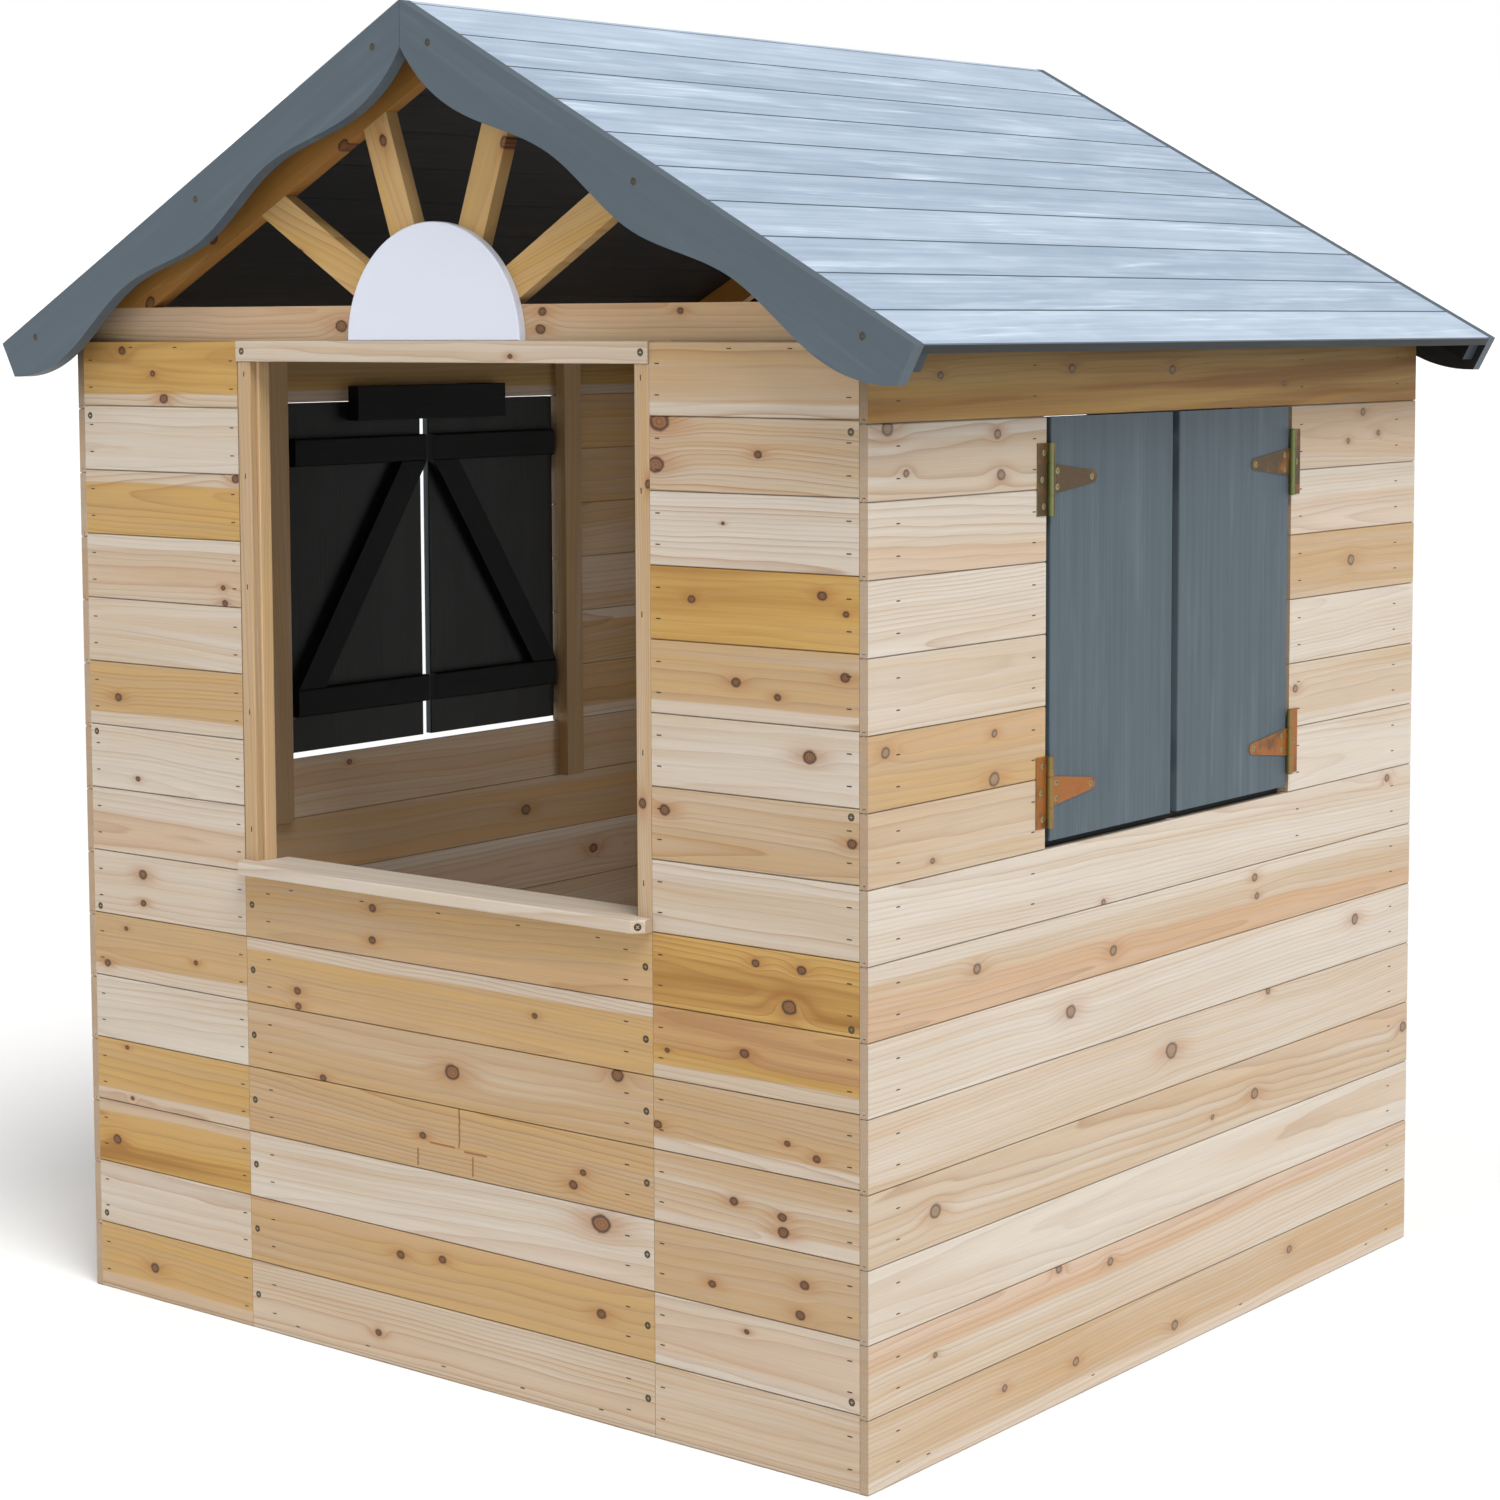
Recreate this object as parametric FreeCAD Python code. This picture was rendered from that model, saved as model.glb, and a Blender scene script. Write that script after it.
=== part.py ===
"""Wooden garden playhouse: boards, battens, gable frame, roof, shutters, hinges and fasteners.

Millimetres, +Z up. The origin is on the ground at the middle of the house. Seen by someone who
stands in front of the serving counter, +X is to the right and +Y is to the back. The right-hand
and front pieces are drawn, and the left-hand and rear ones are their mirror images.
"""
import FreeCAD, Part
import math
import os

from FreeCAD import Vector

# --- Wall boards ---------------------------------------------------------------------------
WALL_WIDTH = 1149.0           # across the outer faces of the two side walls
WALL_DEPTH = 1136.0           # across the outer faces of the front and rear boards
BOARD_COVER = 75.0            # height that one board covers
BOARD_THICK = 10.0
BOARD_ROWS = 15               # boards from the ground to the top of a side wall
END_PANEL_LIP = 4.0           # extra height of the lowest board in the front and rear panels
SEAM_GAP = 0.6                # open joint between two boards
SEAM_BEVEL = 1.1              # bevel on both outer arrises of a board
TONGUE_THICK = 3.0
TONGUE_LENGTH = 4.2
GROOVE_CLEARANCE = 0.3        # on each face of the tongue
GROOVE_SPARE = 0.8            # room past the tongue's end
FIT_GAP = 0.5                 # between pieces that meet without touching

# --- Battens behind the boards -----------------------------------------------------------------
BATTEN_THICK = 17.0
JAMB_BATTEN_HIDDEN = 20.0     # part of the hatch jamb batten that lies behind the boards
JAMB_BATTEN_SHOWN = 24.0      # part of it that stands out into the opening
CORNER_BATTEN_WIDTH = 24.0
COUNTER_BATTEN_WIDTH = 24.0
SIDE_POST_WIDTH = 44.0
WINDOW_BATTEN_WIDTH = 34.0
WINDOW_BATTEN_ROWS_BELOW = 1  # rows that the window battens run on below the window
LEVEL_RAIL_HEIGHT = 28.0      # rails between battens, at the foot and the top of panels
BATTEN_EASE = 1.2             # rounding along the edges of sawn battens

# --- Hatch, counter and doorway ----------------------------------------------------------------
HATCH_WIDTH = 604.6           # also the width of the doorway in the rear wall
COUNTER_ROWS = 7
LINTEL_HEIGHT = 23.0
LINTEL_THICK = 12.0
TRIM_WIDTH = 20.0
SHELF_THICK = 14.0
SHELF_PROJECTION = 22.0       # in front of the wall boards
SHELF_INNER_REACH = 33.0      # behind the wall boards
SHELF_CHAMFER = 11.0
TRIM_EASE = 1.8               # rounding of planed trim, lintel and shelf

# --- Windows and shutters ------------------------------------------------------------------------
WINDOW_WIDTH = 516.0
WINDOW_FIRST_ROW = 8          # rows below the window
WINDOW_ROWS = 6
SHUTTER_PROUD = 0.5           # outer face of the shutter in front of the wall's outer face
SHUTTER_MEETING_GAP = 14.0
SHUTTER_TOP_GAP = 1.0
SHUTTER_BOTTOM_GAP = 8.0
SHUTTER_EASE = 1.5
RAIL_WIDTH = 35.0
RAIL_THICK = 12.0
RAIL_HINGE_INSET = 8.0        # from the shutter's hinge edge to the end of its rails
RAIL_EASE = 3.0
TOP_RAIL_INSET = 62.0         # from the shutter's top edge to the rail's centre
BOTTOM_RAIL_INSET = 63.0
BRACE_FOOT = 46.0             # horizontal width of the diagonal brace
STOP_LENGTH = 275.0
STOP_HEIGHT = 44.0
STOP_THICK = 18.0
STOP_OVERLAP = 25.0           # how far the stop block hangs below the top of the window
SILL_STRIP_THICK = 8.0         # strip inside the right-hand window that the shutters' feet close against
SILL_STRIP_BELOW = 18.0
SILL_STRIP_ABOVE = 11.0

# --- T-hinges --------------------------------------------------------------------------------------
HINGE_TOP_INSET = 64.0        # from the shutter's top edge to the centre of the hinge
HINGE_BOTTOM_INSET = 52.0
HINGE_SHEET = 1.2
HINGE_HEIGHT = 75.0
HINGE_PLATE_WIDTH = 22.0
BARREL_RADIUS = 3.75
BARREL_CLEARANCE = 0.25       # from the barrel to the edges of the window and the shutter
BARREL_LIFT = 0.15            # from the wall to the nearest side of the barrel
STRAP_ROOT_HEIGHT = 32.0
STRAP_TIP_HEIGHT = 13.0
STRAP_LENGTH = 90.0           # from the pin's axis to the tip
KNUCKLE_GAP = 0.4
PIN_RADIUS = 1.75
PIN_CLEARANCE = 0.05          # radial, in the strap's knuckle
PIN_PROUD = 0.8               # at each end of the barrel
HINGE_SCREW_HEAD = 3.4
HINGE_SCREW_LENGTH = 14.0
HINGE_SCREW_HOLE_CLEARANCE = 0.2

# --- Gable frame -------------------------------------------------------------------------------
FRAME_STOCK = 38.0            # height of the gable beam and width of the sun's rays
FRONT_RAFTER_DEPTH = 52.0
REAR_RAFTER_DEPTH = 38.0
RAY_ANGLES = (71.5, 32.0)     # degrees above the beam, steeper ray first
MIDDLE_RAY_GAP = 8.0          # between the feet of the two steep rays
RAY_SPACING = 48.0            # from the middle of a steep ray's foot to that of the flatter one
SUN_RADIUS = 126.0

# --- Roof --------------------------------------------------------------------------------------
ROOF_PITCH = 28.5             # degrees
ROOF_SEAT = 31.5              # underside of the roof above the front panels, at the side walls
EAVE_OVERHANG = 84.5          # level distance from the side wall to the edge of the roof
GABLE_OVERHANG = 42.0         # from the wall boards to the front of the barge boards
RIDGE_BOARD_EXTRA = 7.0       # how much wider than its cover the board beside the ridge is
BARGE_THICK = 16.0
BARGE_CREST = 66.0            # widest and narrowest places of the wavy barge board
BARGE_TROUGH = 47.5
BARGE_APEX_DEPTH = 43.0
BARGE_END_DEPTH = 44.0
FIRST_CREST = 128.0           # from the ridge to the first crest
LAST_CREST = 94.0             # from the last crest to the end
END_BATTEN_DEPTH = 24.0
END_BATTEN_SETBACK = 8.0      # from the eave to the end of the batten behind the barge board

# --- Fasteners -----------------------------------------------------------------------------------
SCREW_HEAD = 4.0
SCREW_SHANK = 1.7
SHORT_SCREW = 25.0
SCREW_FROM_END = 10.0         # from the end of a counter board or lintel
LONG_SCREW = 38.0
STAPLE_CROWN = 5.8
STAPLE_WIRE = 1.1
STAPLE_LEG = 13.0
STAPLE_PROUD = 0.25
STAPLE_STEPS = (0.28, 0.70)   # heights of the two staples in a board, as shares of its cover
PANEL_SCREW_SPOTS = ((1, 0.15), (6, 0.10), (8, 0.88), (13, 0.84))   # row, and share of its cover
STAPLE_TO_HINGE = 1.5         # from the edge of a hinge plate to the staples beside it
PANEL_RAIL_STAPLES = (0.38, 0.73)               # places along the rails, as shares of their length
COUNTER_RAIL_STAPLES = (0.05, 0.27, 0.5, 0.73, 0.95)
WALL_RAIL_STAPLES = (0.03, 0.34, 0.66, 0.97)
PANEL_RAIL_STAPLE_DROP = 7.5  # from the top of the end panels to the staples of their top rails

# --- Values that follow --------------------------------------------------------------------------
X = Vector(1, 0, 0)
Y = Vector(0, 1, 0)
Z = Vector(0, 0, 1)

half_width = WALL_WIDTH / 2
half_depth = WALL_DEPTH / 2
inner_x = half_width - BOARD_THICK
inner_y = half_depth - BOARD_THICK
frame_y = inner_y - BATTEN_THICK            # inner face of the end panels' battens
wall_top = BOARD_ROWS * BOARD_COVER
panel_top = wall_top + END_PANEL_LIP
half_hatch = HATCH_WIDTH / 2
counter_top = END_PANEL_LIP + COUNTER_ROWS * BOARD_COVER - SEAM_GAP
shelf_top = counter_top + SHELF_THICK
jamb_edge = half_hatch - JAMB_BATTEN_SHOWN
panel_edge = inner_x - FIT_GAP
panel_rail_span = (half_hatch + JAMB_BATTEN_HIDDEN + FIT_GAP, panel_edge - CORNER_BATTEN_WIDTH - FIT_GAP)
counter_rail_reach = jamb_edge - 2 * FIT_GAP - COUNTER_BATTEN_WIDTH
wall_rail_reach = frame_y - 2 * FIT_GAP - SIDE_POST_WIDTH

window_bottom = WINDOW_FIRST_ROW * BOARD_COVER
window_top = window_bottom + WINDOW_ROWS * BOARD_COVER
half_window = WINDOW_WIDTH / 2
jamb_gap = 2 * (BARREL_RADIUS + BARREL_CLEARANCE)
shutter_width = half_window - jamb_gap - SHUTTER_MEETING_GAP / 2
shutter_bottom = window_bottom + SHUTTER_BOTTOM_GAP
shutter_top = window_top - SHUTTER_TOP_GAP
shutter_face = half_width + SHUTTER_PROUD
pin_x = half_width + BARREL_LIFT + BARREL_RADIUS
pin_y = half_window - jamb_gap / 2
hinge_heights = (shutter_bottom + HINGE_BOTTOM_INSET, shutter_top - HINGE_TOP_INSET)

pitch = math.radians(ROOF_PITCH)
roof_seat_z = panel_top + ROOF_SEAT
beam_top = panel_top + FRAME_STOCK
ridge_board = BOARD_COVER + RIDGE_BOARD_EXTRA
ridge_z = roof_seat_z + half_width * math.tan(pitch) + BOARD_THICK / math.cos(pitch)
slope_length = (half_width + EAVE_OVERHANG) / math.cos(pitch)
roof_end_y = half_depth + GABLE_OVERHANG - BARGE_THICK


# --- Helpers -------------------------------------------------------------------------------------
def box(low, high):
    """A box between two corners."""
    size = Vector(*high) - Vector(*low)
    return Part.makeBox(size.x, size.y, size.z, Vector(*low))


def eased_box(low, high, radius, axis):
    """A box whose four edges along axis are rounded."""
    solid = box(low, high)
    long_edges = [edge for edge in solid.Edges if abs(edge.tangentAt(edge.FirstParameter).dot(axis)) > 0.9]
    return solid.makeFillet(radius, long_edges)


def prism(points, sweep):
    """A straight prism from an outline of 3-D points."""
    outline = Part.makePolygon(list(points) + [points[0]])
    return Part.Face(outline).extrude(sweep)


def upright(outline, front, thickness):
    """A prism from (x, z) points that starts at y = front and runs back by thickness."""
    return prism([Vector(x, front, z) for x, z in outline], Y * thickness)


def mirrored(solids, normal):
    """Mirror images of solids in the plane through the origin with this normal."""
    return [solid.mirror(Vector(0, 0, 0), normal) for solid in solids]


def largest_solid(shape):
    """The one solid that a cut or a fusion leaves."""
    return max(shape.Solids, key=lambda solid: solid.Volume)


def both_sides(solids):
    return solids + mirrored(solids, X)


def both_ends(solids):
    return solids + mirrored(solids, Y)


def placed(shape, position, heading):
    """A copy of a fastener drawn with its head at the origin facing +Z."""
    place = FreeCAD.Placement(position, FreeCAD.Rotation(Z, heading))
    return shape.transformed(place.toMatrix(), True)


def board(corner, run, rise, out, length, cover, tongue=True, groove=True):
    """One tongued and grooved board.

    corner is its low back corner, and run, rise and out point along its length, across its
    width towards the tongue, and to its bevelled face.
    """
    width = cover - SEAM_GAP
    tongue_low = (BOARD_THICK - TONGUE_THICK) / 2
    tongue_high = tongue_low + TONGUE_THICK
    slot_low = tongue_low - GROOVE_CLEARANCE
    slot_high = tongue_high + GROOVE_CLEARANCE
    slot_depth = TONGUE_LENGTH - SEAM_GAP + GROOVE_SPARE
    outline = [(0, 0)]
    if groove:
        outline += [(0, slot_low), (slot_depth, slot_low), (slot_depth, slot_high), (0, slot_high)]
    outline += [(0, BOARD_THICK - SEAM_BEVEL), (SEAM_BEVEL, BOARD_THICK)]
    outline += [(width - SEAM_BEVEL, BOARD_THICK), (width, BOARD_THICK - SEAM_BEVEL)]
    if tongue:
        tip = width + TONGUE_LENGTH
        outline += [(width, tongue_high), (tip, tongue_high), (tip, tongue_low), (width, tongue_low)]
    outline += [(width, 0)]
    return prism([corner + rise * across + out * through for across, through in outline], run * length)


def screw(head_radius, shank_radius, length):
    """A countersunk cross-head wood screw, head at the origin and facing +Z."""
    cone = head_radius - shank_radius
    tip = shank_radius * 1.6
    profile = [
        Vector(0, 0, 0.35),
        Vector(head_radius * 0.7, 0, 0.28),
        Vector(head_radius, 0, 0),
        Vector(shank_radius, 0, -cone),
        Vector(shank_radius, 0, tip - length),
        Vector(0, 0, -length),
    ]
    body = Part.Face(Part.makePolygon(profile + [profile[0]])).revolve(Vector(0, 0, 0), Z, 360)
    arm = head_radius * 0.55
    slot = head_radius * 0.11
    depth = head_radius * 0.3
    cross = box((-arm, -slot, -depth), (arm, slot, 1)).fuse(box((-slot, -arm, -depth), (slot, arm, 1)))
    return largest_solid(body.cut(cross))


def staple():
    """A wire staple, crown along local X and legs down local Z."""
    half = STAPLE_CROWN / 2
    inner = half - STAPLE_WIRE
    low = STAPLE_PROUD - STAPLE_WIRE
    outline = [(-half, -STAPLE_LEG), (-half, STAPLE_PROUD), (half, STAPLE_PROUD), (half, -STAPLE_LEG),
               (inner, -STAPLE_LEG), (inner, low), (-inner, low), (-inner, -STAPLE_LEG)]
    points = [Vector(x, -STAPLE_WIRE / 2, z) for x, z in outline]
    return prism(points, Y * STAPLE_WIRE)


def row_base(row, lip):
    """Height of the bottom of a board; the lowest one reaches the ground."""
    return row * BOARD_COVER + (lip if row else 0)


def row_cover(row, lip):
    return BOARD_COVER + (0 if row else lip)


# --- Roof geometry ---------------------------------------------------------------------------------
def slope_point(along, below):
    """(x, z) on the right-hand slope: along it from the ridge, and below its upper surface."""
    x = along * math.cos(pitch) - below * math.sin(pitch)
    z = ridge_z - along * math.sin(pitch) - below * math.cos(pitch)
    return x, z


def plumb_along(below):
    """Where the upright cut at the ridge meets a line at this depth below the roof's surface."""
    return (FIT_GAP / 2 + below * math.sin(pitch)) / math.cos(pitch)


def roof_line(x, below):
    """Height at x of a line parallel to the slope, this far below the boards' underside."""
    return roof_seat_z + (half_width - x) * math.tan(pitch) - below / math.cos(pitch)


def roof_line_x(z, below):
    """The x where that line reaches the height z."""
    return half_width + (roof_seat_z - below / math.cos(pitch) - z) / math.tan(pitch)


# --- Front and rear panels -------------------------------------------------------------------------
def end_panel_boards():
    """Boards of the front panel to the right of the hatch."""
    boards = []
    for row in range(BOARD_ROWS):
        corner = Vector(half_hatch, -inner_y, row_base(row, END_PANEL_LIP))
        last = row == BOARD_ROWS - 1
        boards.append(board(corner, X, Z, -Y, panel_edge - half_hatch, row_cover(row, END_PANEL_LIP),
                            tongue=not last, groove=row > 0))
    return boards


def end_rail(low_x, high_x, low_z):
    """Level rail behind boards of the front, between two battens."""
    return eased_box((low_x, -inner_y, low_z), (high_x, -frame_y, low_z + LEVEL_RAIL_HEIGHT), BATTEN_EASE, X)


def end_panel_battens():
    """Jamb batten, corner batten and top rail of the front panel to the right of the hatch."""
    jamb = eased_box((jamb_edge, -inner_y, 0), (half_hatch + JAMB_BATTEN_HIDDEN, -frame_y, panel_top),
                     BATTEN_EASE, Z)
    corner = eased_box((panel_edge - CORNER_BATTEN_WIDTH, -inner_y, 0), (panel_edge, -frame_y, panel_top),
                       BATTEN_EASE, Z)
    rail = end_rail(*panel_rail_span, panel_top - LEVEL_RAIL_HEIGHT)
    return [jamb, corner, rail]


def counter_boards():
    """Boards below the counter, between the two front panels."""
    boards = []
    for row in range(COUNTER_ROWS):
        corner = Vector(FIT_GAP - half_hatch, -inner_y, row_base(row, END_PANEL_LIP))
        last = row == COUNTER_ROWS - 1
        boards.append(board(corner, X, Z, -Y, HATCH_WIDTH - 2 * FIT_GAP, row_cover(row, END_PANEL_LIP),
                            tongue=not last, groove=row > 0))
    return boards


def counter_battens():
    """Two uprights behind the counter boards, and the rails between them at the foot and the top."""
    outer = jamb_edge - FIT_GAP
    batten = eased_box((outer - COUNTER_BATTEN_WIDTH, -inner_y, 0), (outer, -frame_y, counter_top),
                       BATTEN_EASE, Z)
    rails = [end_rail(-counter_rail_reach, counter_rail_reach, low)
             for low in (0, counter_top - LEVEL_RAIL_HEIGHT)]
    return both_sides([batten]) + rails


def lintel():
    """Planed strip across the top of the hatch."""
    reach = half_hatch - FIT_GAP
    return eased_box((-reach, -inner_y - LINTEL_THICK, panel_top - LINTEL_HEIGHT),
                     (reach, -inner_y, panel_top), TRIM_EASE, X)


def hatch_trims():
    """Upright strips that cover the jamb battens above the counter."""
    outer = half_hatch - FIT_GAP
    trim = eased_box((outer - TRIM_WIDTH, -half_depth, shelf_top),
                     (outer, -inner_y, panel_top - LINTEL_HEIGHT - FIT_GAP), TRIM_EASE, Z)
    return both_sides([trim])


def counter_shelf():
    """Counter top, notched around the jamb battens and chamfered at its front corners."""
    reach = half_hatch - FIT_GAP
    inner = jamb_edge - FIT_GAP
    front = -half_depth - SHELF_PROJECTION
    notch = -inner_y - FIT_GAP
    back = -inner_y + SHELF_INNER_REACH
    right = [(reach - SHELF_CHAMFER, front), (reach, front + SHELF_CHAMFER), (reach, notch),
             (inner, notch), (inner, back)]
    left = [(-x, y) for x, y in reversed(right)]
    slab = prism([Vector(x, y, counter_top) for x, y in right + left], Z * SHELF_THICK)
    front_edges = [edge for edge in slab.Edges
                   if edge.BoundBox.YMax < notch - FIT_GAP and edge.BoundBox.ZLength < SHELF_THICK / 2]
    return slab.makeFillet(TRIM_EASE, front_edges)


# --- Side walls ------------------------------------------------------------------------------------
def side_wall_boards():
    """Boards of the right-hand wall, in two lengths beside the window."""
    boards = []
    pier = half_depth - half_window
    for row in range(BOARD_ROWS):
        last = row == BOARD_ROWS - 1
        beside_window = WINDOW_FIRST_ROW <= row < WINDOW_FIRST_ROW + WINDOW_ROWS
        spans = [(-half_depth, pier), (half_window, pier)] if beside_window else [(-half_depth, WALL_DEPTH)]
        for start, length in spans:
            corner = Vector(inner_x, start, row_base(row, 0))
            piece = board(corner, Y, Z, X, length, row_cover(row, 0), tongue=not last, groove=row > 0)
            if row == WINDOW_FIRST_ROW - 1:
                sill = window_bottom - SEAM_GAP
                window = box((inner_x, -half_window, sill), (half_width, half_window, window_top))
                piece = largest_solid(piece.cut(window))
            boards.append(piece)
    return boards


def side_wall_battens():
    """Corner posts, window battens and bottom rail of the right-hand wall."""
    low_x = inner_x - BATTEN_THICK
    post_end = frame_y - FIT_GAP
    post = eased_box((low_x, -post_end, 0), (inner_x, SIDE_POST_WIDTH - post_end, wall_top), BATTEN_EASE, Z)
    foot = window_bottom - WINDOW_BATTEN_ROWS_BELOW * BOARD_COVER
    beside = eased_box((low_x, -half_window - WINDOW_BATTEN_WIDTH, foot), (inner_x, -half_window, wall_top),
                       BATTEN_EASE, Z)
    rail = eased_box((low_x, -wall_rail_reach, 0), (inner_x, wall_rail_reach, LEVEL_RAIL_HEIGHT), BATTEN_EASE, Y)
    return both_ends([post, beside]) + [rail]


def window_stop():
    """Block inside the top of the window that the closed shutters rest against."""
    low = window_top - STOP_OVERLAP
    return eased_box((inner_x - STOP_THICK, -STOP_LENGTH / 2, low),
                     (inner_x, STOP_LENGTH / 2, low + STOP_HEIGHT), BATTEN_EASE, Y)


def sill_strip():
    """Strip on the inner face of the wall, behind the gap under the right-hand shutters."""
    reach = half_window - jamb_gap
    return eased_box((inner_x - SILL_STRIP_THICK, -reach, window_bottom - SILL_STRIP_BELOW),
                     (inner_x, reach, window_bottom + SILL_STRIP_ABOVE), BATTEN_EASE, Y)


def eave_plate():
    """Filler between the top of the right-hand wall and the roof, bevelled to the roof's slope."""
    low_x = half_width - BATTEN_THICK
    outline = [(low_x, wall_top), (half_width, wall_top), (half_width, roof_line(half_width, FIT_GAP)),
               (low_x, roof_line(low_x, FIT_GAP))]
    end = frame_y - FIT_GAP
    return upright(outline, -end, 2 * end)


# --- Gable frame ---------------------------------------------------------------------------------
def gable_beam():
    """Beam across the front, on the end panels' battens and cut to the slope at both ends."""
    top_x = roof_line_x(beam_top, FIT_GAP)
    if top_x < inner_x:
        ends = [(inner_x, panel_top), (inner_x, roof_line(inner_x, FIT_GAP)), (top_x, beam_top)]
    else:
        ends = [(inner_x, panel_top), (inner_x, beam_top)]
    outline = ends + [(-x, z) for x, z in reversed(ends)]
    return upright(outline, -inner_y, BATTEN_THICK)


def rafter(depth):
    """Right-hand front rafter, from the upright cut at the ridge to the top of the beam."""
    middle = FIT_GAP / 2
    outline = [
        (middle, roof_line(middle, FIT_GAP)),
        (roof_line_x(beam_top, FIT_GAP), beam_top),
        (roof_line_x(beam_top, depth), beam_top),
        (middle, roof_line(middle, depth)),
    ]
    return upright(outline, -inner_y, BATTEN_THICK)


def ray_side(foot, angle, offset):
    """Two (x, z) ends of a ray's side, from the beam up to the rafter's lower edge."""
    lean = math.tan(math.radians(angle))
    low_x = foot + offset / math.sin(math.radians(angle))
    rise_to_rafter = roof_line(low_x, FRONT_RAFTER_DEPTH) - beam_top
    run = rise_to_rafter / (lean + math.tan(pitch))
    return (low_x, beam_top), (low_x + run, beam_top + run * lean)


def sun_rays():
    """Four rays between the beam and the rafters; the flatter one is cut away at the steeper."""
    rays = []
    steep_foot = (MIDDLE_RAY_GAP + FRAME_STOCK / math.sin(math.radians(RAY_ANGLES[0]))) / 2
    feet = (steep_foot, steep_foot + RAY_SPACING)
    for foot, angle in zip(feet, RAY_ANGLES):
        right_low, right_high = ray_side(foot, angle, FRAME_STOCK / 2)
        left_low, left_high = ray_side(foot, angle, -FRAME_STOCK / 2)
        ray = upright([left_low, right_low, right_high, left_high], -inner_y, BATTEN_THICK)
        for earlier in rays:
            ray = largest_solid(ray.cut(earlier))
        rays.append(ray)
    return both_sides(rays)


def sun_disc():
    """Half-round board in front of the beam and the feet of the rays."""
    left = Vector(-SUN_RADIUS, -half_depth, panel_top)
    right = Vector(SUN_RADIUS, -half_depth, panel_top)
    top = Vector(0, -half_depth, panel_top + SUN_RADIUS)
    outline = Part.Wire([Part.Arc(left, top, right).toShape(), Part.makeLine(right, left)])
    disc = Part.Face(outline).extrude(Y * BOARD_THICK)
    front_edges = [edge for edge in disc.Edges if edge.BoundBox.YMax < -half_depth + 0.1]
    return disc.makeFillet(TRIM_EASE, front_edges)


# --- Roof ----------------------------------------------------------------------------------------
def roof_boards():
    """Boards of the right-hand slope, from the eave up; the last one is cut upright at the ridge."""
    up = Vector(-math.cos(pitch), 0, math.sin(pitch))
    out = Vector(math.sin(pitch), 0, math.cos(pitch))
    rows = max(2, round((slope_length - ridge_board) / BOARD_COVER))
    covers = [slope_length - ridge_board - (rows - 1) * BOARD_COVER]
    covers += [BOARD_COVER] * (rows - 1)
    covers += [ridge_board + SEAM_GAP]
    boards = []
    along = slope_length
    for index, cover in enumerate(covers):
        x, z = slope_point(along, BOARD_THICK)
        last = index == rows
        piece = board(Vector(x, -roof_end_y, z), Y, up, out, 2 * roof_end_y, cover,
                      tongue=not last, groove=index > 0)
        if last:
            past_ridge = box((-ridge_board, -roof_end_y - 1, 0), (FIT_GAP / 2, roof_end_y + 1, ridge_z + 1))
            piece = largest_solid(piece.cut(past_ridge))
        boards.append(piece)
        along -= cover
    return boards


def roof_end_batten():
    """Batten under the right-hand roof boards, behind the front barge board."""
    low = BOARD_THICK + END_BATTEN_DEPTH
    end = slope_length - END_BATTEN_SETBACK
    outline = [
        slope_point(plumb_along(BOARD_THICK), BOARD_THICK),
        slope_point(end, BOARD_THICK),
        slope_point(end, low),
        slope_point(plumb_along(low), low),
    ]
    return upright(outline, -roof_end_y, roof_end_y - half_depth - FIT_GAP)


def barge_board():
    """Right-hand front barge board: upright cut at the ridge, wavy lower edge, square end."""
    last_crest = slope_length - LAST_CREST
    half_wave = (last_crest - FIRST_CREST) / 4
    wave = [(plumb_along(BARGE_APEX_DEPTH), BARGE_APEX_DEPTH), (FIRST_CREST, BARGE_CREST)]
    for step in range(1, 5):
        wave.append((FIRST_CREST + step * half_wave, BARGE_TROUGH if step % 2 else BARGE_CREST))
    wave.append((slope_length, BARGE_END_DEPTH))
    front = -half_depth - GABLE_OVERHANG

    def point(along, below):
        x, z = slope_point(along, below)
        return Vector(x, front, z)

    curve = Part.BSplineCurve()
    curve.interpolate([point(along, below) for along, below in wave])
    apex = point(plumb_along(0), 0)
    eave = point(slope_length, 0)
    outline = Part.Wire([
        curve.toShape(),
        Part.makeLine(point(*wave[-1]), eave),
        Part.makeLine(eave, apex),
        Part.makeLine(apex, point(*wave[0])),
    ])
    return Part.Face(outline).extrude(Y * BARGE_THICK)


# --- Shutters and hinges ---------------------------------------------------------------------------
def shutter_board():
    """Front shutter of the right-hand window, closed."""
    hinge_edge = jamb_gap - half_window
    return eased_box((shutter_face - BOARD_THICK, hinge_edge, shutter_bottom),
                     (shutter_face, hinge_edge + shutter_width, shutter_top), SHUTTER_EASE, Z)


def shutter_braces():
    """Two rails and the diagonal on the shutter's inner face."""
    outer = shutter_face - BOARD_THICK
    inner = outer - RAIL_THICK
    hinge_edge = jamb_gap - half_window
    start = hinge_edge + RAIL_HINGE_INSET
    end = hinge_edge + shutter_width
    low_rail = shutter_bottom + BOTTOM_RAIL_INSET
    high_rail = shutter_top - TOP_RAIL_INSET
    rails = [eased_box((inner, start, centre - RAIL_WIDTH / 2), (outer, end, centre + RAIL_WIDTH / 2),
                       RAIL_EASE, Y) for centre in (low_rail, high_rail)]
    low = low_rail + RAIL_WIDTH / 2
    high = high_rail - RAIL_WIDTH / 2
    outline = [(start, low), (start + BRACE_FOOT, low), (end, high), (end - BRACE_FOOT, high)]
    diagonal = prism([Vector(inner, y, z) for y, z in outline], X * RAIL_THICK)
    return rails + [diagonal]


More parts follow.
